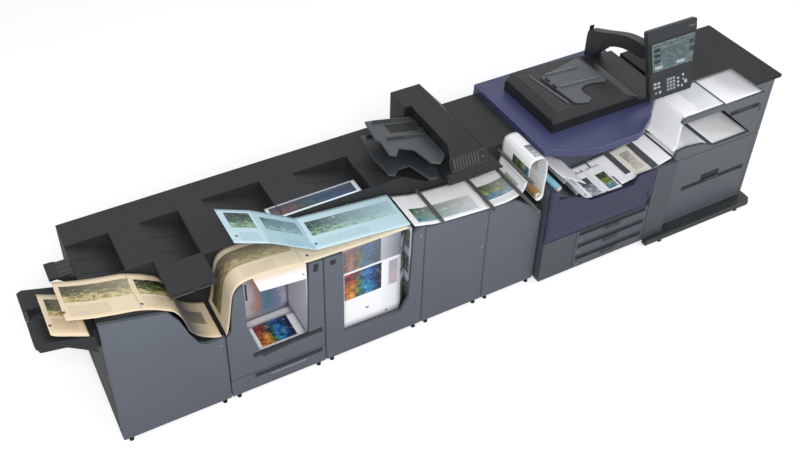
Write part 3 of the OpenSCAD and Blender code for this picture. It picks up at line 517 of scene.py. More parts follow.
# Rear lining of the booklet window: a pale gradient that is painted light from behind, and a many-coloured smear that
# is a painted reflection.
def painted_light_wall(place, u, v):
    drift = u + (cloud(place, 7.0, 3) - 0.5) * 0.1
    base = mix(between(u, 0.0, 0.4), "#E2DCE0", "#C4C8D6")
    painted_reflection = mix(between(drift, 0.185, 0.245), "#C8866A", "#3F7D92")
    painted_reflection = mix(between(drift, 0.28, 0.36), painted_reflection, "#8C86AE")
    return mix(patch(drift, v, 0.14, 0.34, 0.0, 0.55, 0.05) * 0.85, base, painted_reflection)


def pale_wall(place, u, v):
    return mix(cloud(place, 9.0, 3), "#D2D3DA", "#E6E6EA")


X, Y, Z = (1, 0, 0), (0, 1, 0), (0, 0, 1)
recess_left, recess_right, recess_floor, recess_wide, recess_tall = booklet_x + 120, booklet_x + 526, 234, 401, 650
leaf((recess_left + 3, 350.4, recess_floor), X, Z, (recess_wide, recess_tall), 1.2)
for x in (recess_left, recess_right):
    leaf((x, 30, recess_floor), Y, Z, (318, recess_tall), 1.2, mat=1)
leaf((recess_left + 3, 281, recess_floor - 0.6), X, Y, (recess_wide, 68), mat=1)
wall_white = sheet_mat("pale_wall", pale_wall)
keep("window_lining", [sheet_mat("painted_light_wall", painted_light_wall), wall_white])


# Booklets on the pile: white covers with a picture, a few of them not quite square on each other.
def cover_page(place, u, v):
    picture, share = view_of(place, 0.034, 0.262, 0.062, 0.236)
    paper = mix(cloud(place, 6.0, 3), "#F4F4F6", "#E9E9EE")
    return mix(patch(u, v, 0.283, 0.296, 0.03, 0.043, 0.003), mix(share, paper, picture), "#3A3F48")


def stack_edge(place, u, v):
    return mix(between((v * 640.0).math("FRACT"), 0.55, 0.75, 0, 0.45), "#ECECEF", "#8F9096")


low, high = span("booklet_pile")
for i in range(8):
    top = i == 7
    corner = (low.x + 1 + 1.6 * math.sin(i * 2.3), low.y + 1 + 0.6 * math.cos(i * 1.7),
              low.z + 2 + i * (high.z - low.z - 3) / 7)
    leaf(corner, X, Y, (high.x - low.x - 4, high.y - low.y - 4), 2.0 if top else 3.4, 0.5, 0 if top else 1,
         (10, 8), i * 2.1)
keep("booklet_covers", [sheet_mat("cover_page", cover_page, 0.3), sheet_mat("stack_edge", stack_edge, 0.6)],
     replaces=["booklet_pile"])


# The sheet that falls: beige where it leaves the run, with a small round mark.
def falling(place, u, v):
    paper = mix(between(v, 0.15, 0.07), "#E8D5BB", "#F5F4F5")
    return mix(patch(u, v, 0.29, 0.302, 0.048, 0.06, 0.003), paper, "#4A4E57")


fall_low, fall_high = span("falling_sheet")
cells = 12


def falling_place(i, j, layer):
    s, t = i / cells, j / cells
    foot_x, foot_z = fall_low.x + 40 + (fall_high.x - fall_low.x - 40) * s, fall_low.z + 32 * (1 - s)
    head_x, head_z = fall_low.x + (fall_high.x - 2 - fall_low.x) * s, fall_high.z - 26.5 * s
    belly = 2.0 * math.sin(math.pi * t) * (0.4 + 0.6 * s)
    return at(foot_x + (head_x - foot_x) * t, fall_low.y + 2 - belly + layer, foot_z + (head_z - foot_z) * t)


grid_of((cells, cells), falling_place, lambda i, j: (0.318 * i / cells, 0.160 * j / cells), rim=False)
keep("falling_page", sheet_mat("falling_print", falling), replaces=["falling_sheet"])


# ---- Stacker window ----
# A tall stack seen from the front: its outer page shows two sets of a picture and a plain foot.
# Its layers stand a little uneven; smaller pages hang on the lining to its right.
def stack_front(place, u, v):
    paper = mix(between(u, 0.25, 0.39), "#F6F6F8", "#D5D7DE")
    strip, _ = view_of(place, 0.31, 0.62, 0.25, 0.46)
    paper = mix(patch(u, v, 0.311, 0.372, 0.25, 0.455, 0.003) * 0.7, paper, mix(0.6, strip, "#8C90A8"))
    bright, share = view_of(place, 0.012, 0.262, 0.25, 0.468)
    colour = mix(share, paper, bright)
    colour = mix(patch(u, v, -0.1, 0.6, 0.48, 0.9, 0.004), colour,
                 mix(between(u, 0.25, 0.36), "#B7BAC4", "#7F858F"))
    muted, share = view_of(place, 0.01, 0.255, 0.486, 0.72)
    colour = mix(share * 0.92, colour, mix(0.55, muted, "#5E646E"))
    for box in ((0.155, 0.176, 0.115, 0.133), (0.292, 0.308, 0.028, 0.043)):
        colour = mix(patch(u, v, *box, 0.002) * 0.75, colour, "#3D434F")
    return mix(inside(v + u * 0.03, 0.4765, 0.4825, 0.001), colour, "#E9EDF8")


low, high = span("stacker_pile")
tall = high.z - low.z
leaf((low.x, low.y + 0.4, low.z), X, Z, (high.x - low.x, tall), 0.8, 0.3)
layers = 34
for i in range(layers):
    slip = 0.9 * math.sin(i * 1.9)
    slab((low.x + 0.5, low.y + 1.4, low.z + tall * i / layers),
         (high.x - 1.5 + slip, high.y - 1.0, low.z + tall * (i + 1) / layers - 0.8), 0.6, 1, mat=1)
stack_white = surface("stack_white", "#E4E4E8", dust=0.02)
keep("stack_pages", [sheet_mat("stack_front", stack_front, 0.35), stack_white],
     replaces=["stacker_pile"])


# Pages hung on the window's right wall, with pictures in greens between pale edges.
def wall_page(place, u, v):
    row = (v / 0.215).math("FRACT")
    green = mix(between(cloud(place, 40.0, 5, 0.7), 0.4, 0.62), "#2C3A34", "#8F9C92")
    paper = mix(between(u, 0.0, 0.28), "#C2C8CE", "#8E949C")
    colour = mix(inside(u, 0.014, 0.25, 0.004) * inside(row, 0.14, 0.8, 0.02), paper, green)
    return mix(inside(row, 0.93, 0.965, 0.01), colour, "#DADDE2")


leaf((stacker_x + 590.5, 24, 230), Y, Z, (286, 650), ripple=0.8)
for y0, z0, z1 in ((28, 250, 520), (34, 540, 800)):
    leaf((stacker_x + 525, y0, z0), (1, 1.05, 0), (0, 0.03, 1), (88, z1 - z0), 0.9, 0.5)
leaf((stacker_x + 127, 313.6, 234), X, Z, (462, 656), 0.8, mat=1)
keep("stacker_wall_pages", [sheet_mat("wall_page", wall_page, 0.3), wall_white])


# ---- Paper path ----
# Sheets lie along one curved run through the cut-open machines: cream in the finisher,
# pale blue in the folder, white in the relay unit and the print engine.
def smooth(points, steps):
    """Points of a smooth curve through a few guide points."""
    made = []
    for i in range(len(points) - 1):
        a, b, c, d = (Vector(points[min(max(k, 0), len(points) - 1)]) for k in (i - 1, i, i + 1, i + 2))
        for s in range(steps):
            t = s / steps
            made.append(0.5 * (2 * b + (c - a) * t + (2 * a - 5 * b + 4 * c - d) * t * t +
                               (3 * b - a - 3 * c + d) * t ** 3))
    return made + [Vector(points[-1])]


def off(x, z, *steps):
    """Guide points, each given as its distance from one place in X and Z."""
    return [(x + dx, z + dz) for dx, dz in steps]


def paper_run(name, guide, mats, pages, y0=3, y1=303, lift=0.8, steps=8, thick=1.2, wave=0.6,
              replaces=()):
    """Pages laid along a line in X and Z; each page's UV holds metres from its own start and front edge."""
    line = smooth(guide, steps)
    arc = [0.0]
    for p, q in zip(line, line[1:]):
        arc.append(arc[-1] + (q - p).length)

    def on_line(s):
        i = next((k for k in range(1, len(arc)) if arc[k] >= s), len(arc) - 1)
        p = line[i - 1].lerp(line[i], (s - arc[i - 1]) / max(arc[i] - arc[i - 1], 1e-6))
        along = (line[i] - line[i - 1]).normalized()
        return p, Vector((-along.y, along.x))

    columns, cell, overlap = 14, 9, 6.0
    for k, (low, high, mat) in enumerate(pages):
        a, b = max(low - overlap, 0), min(high, arc[-1])
        rows = max(3, int((b - a) / cell))
        spots = [on_line(a + (b - a) * i / rows) for i in range(rows + 1)]

        def place(i, j, layer):
            p, up = spots[i]
            s, y = a + (b - a) * i / rows, (y1 - y0) * j / columns
            rise = lift * ((rows - i) / rows if k % 2 else i / rows)
            ripple = wave * noise.noise(Vector((s * 0.009, y * 0.011, k * 3.7)))
            q = p + up * (rise + ripple + thick * (0.5 - layer))
            return at(q.x, y0 + y, q.y)

        grid_of((rows, columns), place,
                lambda i, j: ((a + (b - a) * i / rows - low) * MM, (y1 - y0) * j / columns * MM), mat)
    keep(name, mats, replaces=replaces)


# A page with a landscape, lines of grey print and a small index mark; it can fade along the run.
page_print, given, out = effect("page_print", {
    "Vector": "Vector", "Left": 0.05, "Right": 0.25, "Low": 0.12, "High": 0.24, "Paper": "Color",
    "Deep Ink": "Color", "Mid Ink": "Color", "Pale Ink": "Color", "Blur": 0.0, "Text Left": 0.05,
    "Text Right": 0.2, "Text Low": 0.03, "Text High": 0.10, "Text": 0.3, "Mark U": -1.0, "Mark V": -1.0,
    "Ghost": 0.0, "Ghost Start": 0.0, "Ghost End": 0.3, "Ghost Color": "Color", "Seed": 0.0},
    {"Color": "Color", "Height": "Float"})
u, v, _ = split(given["Vector"])
where = Signal(node(page_print, "ShaderNodeCombineXYZ", {0: u, 1: v * 1.6, 2: given["Seed"]}).outputs[0])
picture_box = [given[label] for label in ("Left", "Right", "Low", "High")]
text_box = [given["Text " + label] for label in ("Left", "Right", "Low", "High")]
paper, deep, pale = given["Paper"], given["Deep Ink"], given["Pale Ink"]
up = between(v, *picture_box[2:])
ridge = cloud(where, 16.0, 6, 0.62)
leaves = cloud(where, 27.0, 6, 0.74)
picture = mix(between(up + ridge * 1.3, 1.25, 1.36), given["Mid Ink"], deep)
picture = mix(between(up + ridge * -1.4, -0.3, -0.42), picture, pale)
picture = mix(between(leaves, 0.47, 0.6, 0, 0.9), picture, deep)
picture = mix(between(leaves, 0.45, 0.36, 0, 0.75), picture, mix(0.5, pale, paper))
picture = mix(given["Blur"] * between(u, *picture_box[:2]), picture, paper)
words = cloud(where, 260.0, 1).math("GREATER_THAN", 0.42)
rows = (v * 130.0).math("FRACT").math("LESS_THAN", 0.42)
text = patch(u, v, *text_box) * words * (rows * given["Text"])
mark_u, mark_v, half = given["Mark U"], given["Mark V"], 0.0085
mark = patch(u, v, mark_u - half, mark_u + half, mark_v - half, mark_v + half, 0.002)
colour = mix(between(cloud(where, 5.0, 3), 0.35, 0.7, 0, 0.1), paper, mix(0.5, paper, (0.55, 0.52, 0.48)))
colour = mix(patch(u, v, *picture_box), colour, picture)
colour = mix(text, colour, deep)
colour = mix(mark * 0.9, colour, (0.02, 0.025, 0.035))
fade = between(u, given["Ghost Start"], given["Ghost End"], 0.0, given["Ghost"])
wire(out, {"Color": mix(fade, colour, given["Ghost Color"]), "Height": cloud(given["Vector"], 700.0, 2)})


def printed(name, inks, picture, text=(0.05, 0.2, 0.03, 0.10, 0.0), mark=(-1, -1), blur=0.0, seed=0.0,
            ghost=(0.0, 0.0, 0.3), ghost_colour="#6A7178", painted_glow=0.0):
    """A printed sheet, in metres on its page; its last argument makes the paper glow faintly in its own colour: painted
    light that lifts pages lying in shade.
    """
    def build(tree):
        labels = ["Left", "Right", "Low", "High", "Text Left", "Text Right", "Text Low", "Text High", "Text",
                  "Mark U", "Mark V", "Ghost", "Ghost Start", "Ghost End"]
        values = dict(zip(labels, (*picture, *text, *mark, *ghost)), Blur=blur, Seed=seed)
        values.update(zip(("Paper", "Deep Ink", "Mid Ink", "Pale Ink", "Ghost Color"), (*inks, ghost_colour)))
        values["Vector"] = node(tree, "ShaderNodeUVMap", uv_map="run").outputs[0]
        sheet = apply(page_print, tree, values)
        return {"Base Color": sheet["Color"], "Normal": relief(sheet["Height"], 0.15, 0.0002), "Roughness": 0.42,
                "Emission Color": sheet["Color"], "Emission Strength": painted_glow}

    return finish(name, build)


engine_x, feeder_x, feeder_end = (span(name)[side].x for name, side in (
    ("engine_body", 0), ("feeder_body", 0), ("feeder_body", 1)))
low_run, path_z = MH - 430, MH - 188
dive = finisher_w - 206
cream = ("#EFDABA", "#20281A", "#5A6636", "#CDBE82")
exit_mats = [
    printed("exit_page_left", cream, (0.045, 0.415, 0.13, 0.258), (0.05, 0.27, 0.03, 0.108, 0.35), (0.024, 0.060),
            0.35),
    printed("exit_page_middle", cream, (0.025, 0.240, 0.13, 0.248), (0.03, 0.22, 0.03, 0.11, 0.4), (0.012, 0.048),
            ghost=(0.92, 0.215, 0.330), seed=1.0),
    printed("exit_page_right", ("#E0CDAE", "#66665A", "#77756A", "#8C8876"), (0.02, 0.150, 0.11, 0.21),
            (0.03, 0.15, 0.03, 0.09, 0.2), blur=0.15, ghost=(0.95, 0.15, 0.02), ghost_colour="#5E6268", seed=2.0)]
paper_run("cream_exit_pages", [
    *off(0, MH, (-140, 108), (-30, 66), (90, 32), (215, 1.6)), *off(dive, MH, (-158, -35), (-92, -75), (-53, -105)),
    *off(dive, low_run, (-21, 270), (0, 200), (20, 130), (72, 65)), *off(finisher_w, low_run, (-64, 18), (-16, 0))],
    exit_mats, [(-20, 400, 0), (400, 820, 1), (820, 1020, 2)], lift=1.2,
    replaces=["cream_exit_sheets"])
riser_mats = [
    printed("riser_page_low", ("#F2DFC2", "#2E2C16", "#5D562C", "#A8965A"), (0.04, 0.75, 0.125, 0.252),
            (0.42, 0.62, 0.03, 0.10, 0.22), blur=0.42, seed=3.0),
    printed("riser_page_middle", ("#F0DEC2", "#4A4728", "#857C4C", "#C4B480"), (0.02, 0.33, 0.13, 0.245),
            (0.06, 0.30, 0.03, 0.10, 0.2), (0.041, 0.052), 0.7, 4.0),
    printed("riser_page_high", ("#EEDEC6", "#6A6A4A", "#A09A7C", "#C4B894"), (0.03, 0.22, 0.13, 0.245),
            (0.05, 0.2, 0.03, 0.10, 0.2), blur=0.6, seed=5.0)]
paper_run("cream_riser_pages", [
    *off(booklet_x, low_run, (6, -6), (24, 50), (44, 170), (66, 290)),
    *off(booklet_x, MH, (110, -80), (190, -63), (380, -75)), *off(stacker_x, MH, (-89, -93), (99, -99)),
    (folder_x - 115, MH - 112)],
    riser_mats, [(0, 775, 0), (775, 1200, 1), (1200, 1460, 2)],
    replaces=["cream_riser_sheets"])
sky = ("#C4E2EB", "#132B24", "#35604C", "#8DAF8C")
blue_mats = [
    printed("blue_page_raised", sky, (0.040, 0.200, 0.135, 0.270), (0.06, 0.187, 0.021, 0.093, 0.42),
            (0.039, 0.060), ghost_colour="#9FD2E8"),
    printed("blue_page_fold", ("#B4D7E2", "#2C4A42", "#567A6E", "#93B2A8"), (0.033, 0.293, 0.13, 0.245),
            (0.113, 0.243, 0.015, 0.066, 0.35), blur=0.25, ghost=(0.22, 0.0, 0.10), ghost_colour="#9CC8DC",
            seed=6.0),
    printed("blue_page_long", sky, (0.028, 0.585, 0.116, 0.240), (0.03, 0.36, 0.03, 0.085, 0.34), (0.016, 0.048),
            0.8, 7.0, ghost_colour="#9FD2E8")]
paper_run("blue_fold_pages", [
    *off(booklet_x, MH, (108, 242), (300, 154), (317, 146), (334, 135), (420, 80)),
    *off(stacker_x, MH, (-70, -4), (-48, -18), (-18, -24)), *off(folder_x, MH, (-365, -58), (-105, -85))],
    blue_mats, [(0, 227, 0), (227, 545, 1), (545, 1160, 2)], steps=1,
    replaces=["blue_fold_sheets"])
grey_inks = ("#6E7478", "#A2A6A8", "#C4C6C8")
# The streaked page glows faintly in its own colour: painted light.
transport_mats = [
    printed("white_page_streaks", ("#F6F6F8", "#39533A", "#6E8C7A", "#4F94A0"), (0.045, 0.480, 0.03, 0.160),
            blur=0.7, painted_glow=0.06, seed=8.0),
    printed("white_page_meadow", ("#F6F6F8", "#4A5A2C", "#8D9448", "#4E86B0"), (0.035, 0.265, 0.065, 0.200),
            (0.04, 0.25, 0.012, 0.05, 0.3), (0.018, 0.04), 0.35, 9.0),
    printed("white_page_rise", ("#F6F6F8", "#2E4424", "#6F7C34", "#3C6E96"), (0.030, 0.112, 0.005, 0.180),
            seed=10.0),
    printed("white_page_arch", ("#F6F6F8", *grey_inks), (0.025, 0.085, 0.03, 0.155), seed=11.0),
    printed("white_page_down", ("#F6F6F8", *grey_inks), (0.08, 0.16, 0.10, 0.20), (0.02, 0.25, 0.20, 0.27, 0.25),
            blur=0.5, seed=12.0)]
arch_x, arch_z, around = relay_x + 374, path_z - 58, 30.5
paper_run("transport_pages", [
    *off(folder_x, path_z, (-75, 74), (0, 54), (110, 30)),
    *off(relay_x, path_z, (8, 0), (139, 0), (226, 22), (256, 68), (269, 140), (274, 215), (290, 248), (332, 257),
         (376, 248), (402, 205), (410, 110)),
    (arch_x + around, path_z + 20),
    *off(arch_x, arch_z, (around, 5), (0.72 * around, -0.69 * around), (0, -around), (-0.55 * around, -0.83 * around))],
    transport_mats, [(0, 535, 0), (535, 845, 1), (845, 1020, 2), (1020, 1130, 3), (1130, 1480, 4)],
    lift=0.6, thick=1.0, replaces=["transport_sheets"])

# Delivered sheets: a few curled cream pages fanned at the finisher's mouth.
low, high = span("delivered_pile")
for i in range(7):
    drop = i * 3.4
    first = Vector((low.x + i * 3.0, low.y + 3 + 2.2 * math.sin(i * 2.1), high.z - 3 - drop))
    last = Vector((high.x - 2, first.y, low.z + 17 - drop * 0.6))
    leaf(first, last - first, Y, ((last - first).length, 312), 0.9, 1.3, cells=(14, 12), seed=i * 1.7,
         curl=-2.0 + i * 0.7)
keep("delivered_pages", printed("delivered_page", cream, (0.028, 0.190, 0.145, 0.272),
                                (0.03, 0.16, 0.045, 0.12, 0.4), (0.014, 0.07), 0.3),
     replaces=["delivered_pile"])


# A card that lies over the pockets: a white edge round a dark blue-grey picture.
def pocket_print(place, u, v):
    picture, _ = view_of(place, 0.0, 0.6, 0.0, 0.11)
    return mix(patch(u, v, 0.02, 0.56, 0.012, 0.098), "#DCE4EA", mix(0.82, picture, "#27374C"))


low, high = span("pocket_card")
leaf((low.x + 1, low.y + 1, MH + 1.4), X, Y, (high.x - low.x - 2, high.y - low.y - 2), 0.9, 0.3, cells=(20, 6))
keep("pocket_card_print", sheet_mat("pocket_print", pocket_print),
     replaces=["pocket_card"])

# ---- Output tray and top exit ----
# Moulded stacking tray with rounded lobes, hung from the finisher's left side.
# The lobes are blocks on two legs each, and a ribbed rest for thick sets stands behind them.
rounded("output_tray", surface("side_plastic", "#242628", dust=0.04, shine=0.3), 9, steps=4)
for y0, y1 in ((-19, 95), (175, 398)):
    slab((-319, y0 + 4, MH + 14), (-296, y1 - 4, MH + 22), 5, 4)
    for y in (y0 + 22, y1 - 30):
        slab((-316, y, MH - 26), (-308, y + 10, MH + 18), 3, 3)
slab((-304, 164, MH - 26), (-224, 251, MH - 17), 2, 3)
slab((-137, 414, MH + 16), (-8, 538, MH + 20), 2.5, 3)
for y in (430, 470, 510):
    slab((-134, y, MH + 19), (-12, y + 5, MH + 22.5), 1.2)
keep("output_tray_lobes", surface("tray_plastic", "#2C2E30", dust=0.05))

# ---- Sheet inserter ----
# Dark head with a vented, sloping front, and two notched feed trays that slope up to it.
# The head is screwed to the tops of the folder and the relay unit; its vents are ribs over a dark recess.
tray_grey = surface("tray_grey", "#43474A", dust=0.05)
rounded("inserter_housing", surface("inserter_dark", "#1F2122", dust=0.03, shine=0.3), 4)
rounded("inserter_lower_tray", surface("lower_tray_grey", "#33373A", dust=0.05), 3.5)
rounded("inserter_upper_tray", tray_grey, 3.5)
low, high = span("inserter_housing")
front = turned(math.pi / 2 - math.atan2(120, high.z - MH), "X", low.x, low.y, MH)
for x0, x1, z0, z1 in ((34, 291, 76, 80), (34, 291, 152, 156), (34, 38, 76, 156), (287, 291, 76, 156)):
    slab((x0, z0, -0.6), (x1, z1, 2.4), 0.9, turn=front, mat=1)
slab((48, 84, -0.5), (242, 150, 0.6), 0.8, turn=front)
for i in range(9):
    slab((60 + i * 20.5, 86, 0.2), (69 + i * 20.5, 148, 3.4), 1.2, turn=front, mat=3)
shape([(258, 106), (274, 106), (266, 120)], -0.5, 1.2, 0.3, front, 2)
slab((136, 236, -0.5), (246, 239, 1.2), 0.6, turn=front)
slab((300, 30, -0.5), (303, 190, 0.8), 0.3, turn=front)
slab((low.x + 135, 236, high.z - 1), (low.x + 244, 262, high.z + 0.8), 0.6)
slab((low.x + 178, 300, high.z - 1), (low.x + 181, 840, high.z + 0.6), 0.4)
keep("inserter_vents", [pit_black, surface("vent_frame", "#3A3D40"), surface("arrow_grey", "#585B5E"),
                        surface("vent_rib", "#3E4144")])

# Trays: side guides, feed rollers at the mouths, and a flat black plate under the lower tray that paints the deep shade
# there.
tray_slope = math.atan(0.235)
for name, mouth, mat in (("lower", MH + 50, 0), ("upper", MH + 140, 1)):
    high = span("inserter_%s_tray" % name)[1]
    floor_of = turned(tray_slope, "Y", high.x, 0, mouth)
    for y in (high.y - 26, high.y - 210):
        slab((-300, y, 0.2), (-24, y + 6, 17), 2.4, 3, floor_of, mat)
        slab((-180, y - 9, 0.2), (-120, y + 15, 6), 2.2, 3, floor_of, mat)
    slab((-235, high.y - 150, 0.1), (-30, high.y - 60, 1.4), 0.8, turn=floor_of, mat=2)
    for y in (high.y - 180, high.y - 90):
        rod((-14, y - 22, 8), (-14, y + 22, 8), 7, turn=floor_of, mat=2)
# Painted shade: a flat black plate on the top under the lower tray.
shape(off(stacker_x, 0, (457, 542), (573, 596), (885, 270), (795, 208)), MH + 0.2, MH + 1.4, 0.6, mat=2)
keep("inserter_tray_guides", [surface("guide_dark", "#303335"), tray_grey, pit_black])

# ---- Print engine ----
# Grey steel body under a deep blue-violet cover whose front is broken out over the paper path.
# The cover is a moulding with fine joints; the front door is glossier and carries a lock.
dress(surface("engine_side", "#4A5058", "#42484C", top=0.9, dust=0.04), "engine_body")
rounded("engine_top_cover", surface("engine_blue", "#3C4166", dust=0.03, rough=0.3), 7)
dress(surface("engine_door_blue", "#1F2243", "#2A2B42", top=0.9, dust=0.02, rough=0.3, coat=0.1),
      "engine_front_door")
top, face = span("engine_top_cover")[1].z, span("engine_front_door")[0].y
for x0, x1, y0, y1 in ((26, 28, 100, 870), (26, 143, 870, 870), (141, 143, 150, 870)):
    slab((engine_x + x0, y0, top - 0.8), (engine_x + x1, y1, top + 0.6), 0.3)
for x in (engine_x + 57, engine_x + 87):
    slab((x, 180, top - 0.5), (x + 12, 186, top + 0.7), 0.4)
slab((engine_x + 15, face - 1.2, 398), (engine_x + 18, face + 0.6, 800), 0.4)
slab((engine_x + 22, face - 1.3, 389), (engine_x + 797, face + 0.4, 391.5), 0.4)
keep("engine_seams", surface("seam_blue", "#23264A"))

slab((engine_x + 62, face - 1.4, 430), (engine_x + 717, face + 0.5, 433), 0.6)
slab((engine_x + 829, face - 1.6, 470), (engine_x + 847, face + 0.5, 520), 2.5, 3, mat=1)
rod((engine_x + 838, face, 495), (engine_x + 838, face - 3, 495), 5, mat=1)
keep("engine_door_fittings", [surface("door_line", "#53567E", rough=0.2), trim_black], "engine_door")

# Sheets in the engine: three printed pages, and white ones with a pale film between them.
engine_line = [
    *off(engine_x, path_z, (62, 98), (117, 38), (187, -40), (239, -107)),
    *off(engine_x, 0, (297, 654), (357, 600), (437, 590)),
    *off(feeder_x, 0, (-455, 602), (-255, 628), (-105, 655), (-10, 680))]
meadow_inks = ("#86904E", "#6E9AA8")
# The white pages glow faintly in their own colour: painted light that lifts them out of shade.
engine_mats = [
    printed("engine_page_plain", ("#F8F8FA", "#7A8088", "#A9AEB4", "#C8CCD0"), (0.30, 0.31, 0.02, 0.03),
            painted_glow=0.10, seed=13.0),
    printed("engine_page_hills", ("#F4F4F7", "#5F666C", "#9AA0A6", "#C6CACE"), (0.022, 0.108, 0.045, 0.255),
            mark=(0.012, 0.03), blur=0.3, painted_glow=0.08, seed=14.0),
    printed("engine_page_green", ("#F6F6F8", "#45552E", *meadow_inks), (0.022, 0.100, 0.02, 0.20),
            (0.03, 0.09, 0.22, 0.27, 0.3), painted_glow=0.08, seed=15.0),
    printed("engine_page_cream", ("#F4EFE2", "#9A9688", "#BDB9AC", "#D8D4C8"), (0.03, 0.10, 0.05, 0.24),
            blur=0.4, seed=16.0)]
paper_run("engine_pages", engine_line, engine_mats,
          [(0, 440, 0), (440, 590, 1), (590, 720, 2), (720, 863, 0), (863, 985, 3), (985, 1150, 0)], lift=0.7,
          thick=1.0, replaces=["engine_sheets"])

# A second sheet that bridges the dip between the rollers and the printed pages.
# The film glows faintly in its own colour: painted light.
film = printed("engine_film", ("#F8F8FA", "#6A7076", "#9CA2A8", "#C8CCD0"), (0.30, 0.36, 0.06, 0.24), blur=0.3,
               painted_glow=0.10, seed=19.0)
paper_run("engine_film_page", off(engine_x, path_z, (95, 66), (165, 18)) + off(engine_x, 0, (240, 800), (312, 748)),
          film, [(0, 320, 0)], -14, 262, thick=0.9)
# Both loose pages glow faintly in their own colour: painted light.
loose_mats = [
    printed("engine_loose_hills", ("#F4F4F7", "#4C5258", "#8A9096", "#C2C6CA"), (0.018, 0.098, 0.02, 0.20),
            painted_glow=0.10, seed=20.0),
    printed("engine_loose_green", ("#F6F6F8", "#3A4A24", *meadow_inks), (0.016, 0.092, 0.03, 0.19),
            painted_glow=0.10, seed=21.0)]
paper_run("engine_loose_pages", [(x, z + 7) for x, z in engine_line], loose_mats,
          [(470, 590, 0), (612, 716, 1)], -27, 240, lift=1.5, thick=0.9)

# Slats: flat grey guides between the pages, and the rollers' steel under them.
line = smooth(engine_line, 8)


def height_on(x):
    """How high the engine's sheets lie at a place along the line."""
    return next(p.y + (q.y - p.y) * (x - p.x) / (q.x - p.x) for p, q in zip(line, line[1:]) if p.x <= x <= q.x)


for x, wide, y0, y1 in ((894, 51, 4, 285), (718, 43, 59, 314), (562, 11, 198, 314), (631, 10, 4, 94),
                        (487, 12, 40, 250)):
    x += engine_x
    z0, z1 = height_on(x), height_on(x + wide)
    slab((0, 0, 0), (wide, y1 - y0, 4.5), 1.6, 3, turned(-math.atan2(z1 - z0, wide), "Y", x, y0, z0 + 2.2))
keep("engine_slats", surface("slat_grey", "#55585A", dust=0.03, rough=0.35))

# ---- Guide bars and rollers ----
# Slim steel bars hold the sheets down; the fixing roller is amber silicone on a steel shaft.
# The rollers run in the side frames, with pale hubs pressed on their front ends.
dress(surface("bar_steel", "#5A5D5A", dust=0.02, rough=0.35, metal=0.2), "guide_bars")
dress(surface("roller_steel", "#8E9698", rough=0.3, metal=0.5), "engine_rollers")
dress(surface("roller_amber", "#9E7F50", dust=0.02, rough=0.3, coat=0.4), "arch_rollers")
press_x, press_z = engine_x + 71, path_z - 12
for x, z, y0, y1, r, mat in ((arch_x, arch_z, 23, 17.5, 15, 0), (arch_x, arch_z, 18, 10, 6, 1),
                             (press_x, press_z, -34.5, -41, 12, 0), (press_x, press_z, -40, -47, 5, 1)):
    rod((x, y0, z), (x, y1, z), r, mat=mat)
keep("roller_ends", [surface("roller_hub", "#E2E4E6", rough=0.35), lock_steel])
rod((press_x, -34, press_z), (press_x, 314, press_z), 21.8, 48)
keep("pressure_sleeve", surface("sleeve_cyan", "#7FB7C4", dust=0.01, rough=0.22, coat=0.5))

# ---- Paper trays of the engine ----
# Three steel-fronted drawers under the cover, each with a stepped black bar as its grip.
# They slide out to the front on rails; each holds a pile of white sheets between two guides.
drawer_paint = surface("drawer_paint", "#50545B", "#4B4E56", dust=0.04)
tray_names = ("lower", "middle", "upper")
for name in tray_names:
    dress(drawer_paint, "paper_tray_" + name)
    low, high = span("paper_tray_" + name)
    mid = (low.x + high.x) / 2
    slab((low.x + 18, face - 2.5, high.z - 37), (high.x - 18, face + 1.5, high.z - 34), 0.8)
    slab((low.x + 21, face + 2.5, high.z - 33.5), (high.x - 21, face + 11.5, high.z - 14.5), 0.8)
    slab((low.x + 22, face - 4, high.z - 14), (high.x - 22, face + 5, high.z - 8.5), 1.8, 3)
    slab((mid - 70, face - 5, high.z - 42), (mid + 70, face + 1, high.z - 34.5), 2.2, 3, mat=1)
    slab((mid - 60, face - 2, high.z - 74), (mid + 60, face + 1, high.z - 42), mat=1)
    slab((low.x + 28, face - 1.2, low.z + 16), (low.x + 52, face + 0.4, low.z + 30), 0.8, mat=2)
    for x in (low.x + 30 + k * 5.4 for k in range(4)):
        slab((x, face - 1.6, low.z + 18), (x + 3, face - 1, low.z + 28), 0.3)
    keep("tray_grip_" + name, [trim_black, surface("tray_column_" + name, "#2B2D30", dust=0.03),
                               surface("level_gauge_" + name, "#8E9296", rough=0.3)], "tray_" + name)

# Paper in the trays, seen when one is pulled out.
for name in tray_names:
    low, high = span("paper_tray_" + name)
    for z in (low.z + 19 + k * 15 for k in range(3)):
        slab((low.x + 60, -20, z), (high.x - 160, 277, z + 14.4), 0.6, 1)
    slab((high.x - 154, 60, low.z + 19), (high.x - 148, 200, low.z + 78), mat=1)
    slab((low.x + 200, 283, low.z + 19), (low.x + 330, 290, low.z + 78), mat=1)
    for z in (low.z + 20 + k * 3.7 for k in range(12)):
        slab((low.x + 60.4, -20.3, z), (high.x - 160.4, -19.9, z + 0.5), 0, mat=2)
    keep("tray_stack_" + name, [stack_white, tray_grey, surface("sheet_shadow_" + name, "#B9BABE")],
         "tray_" + name)

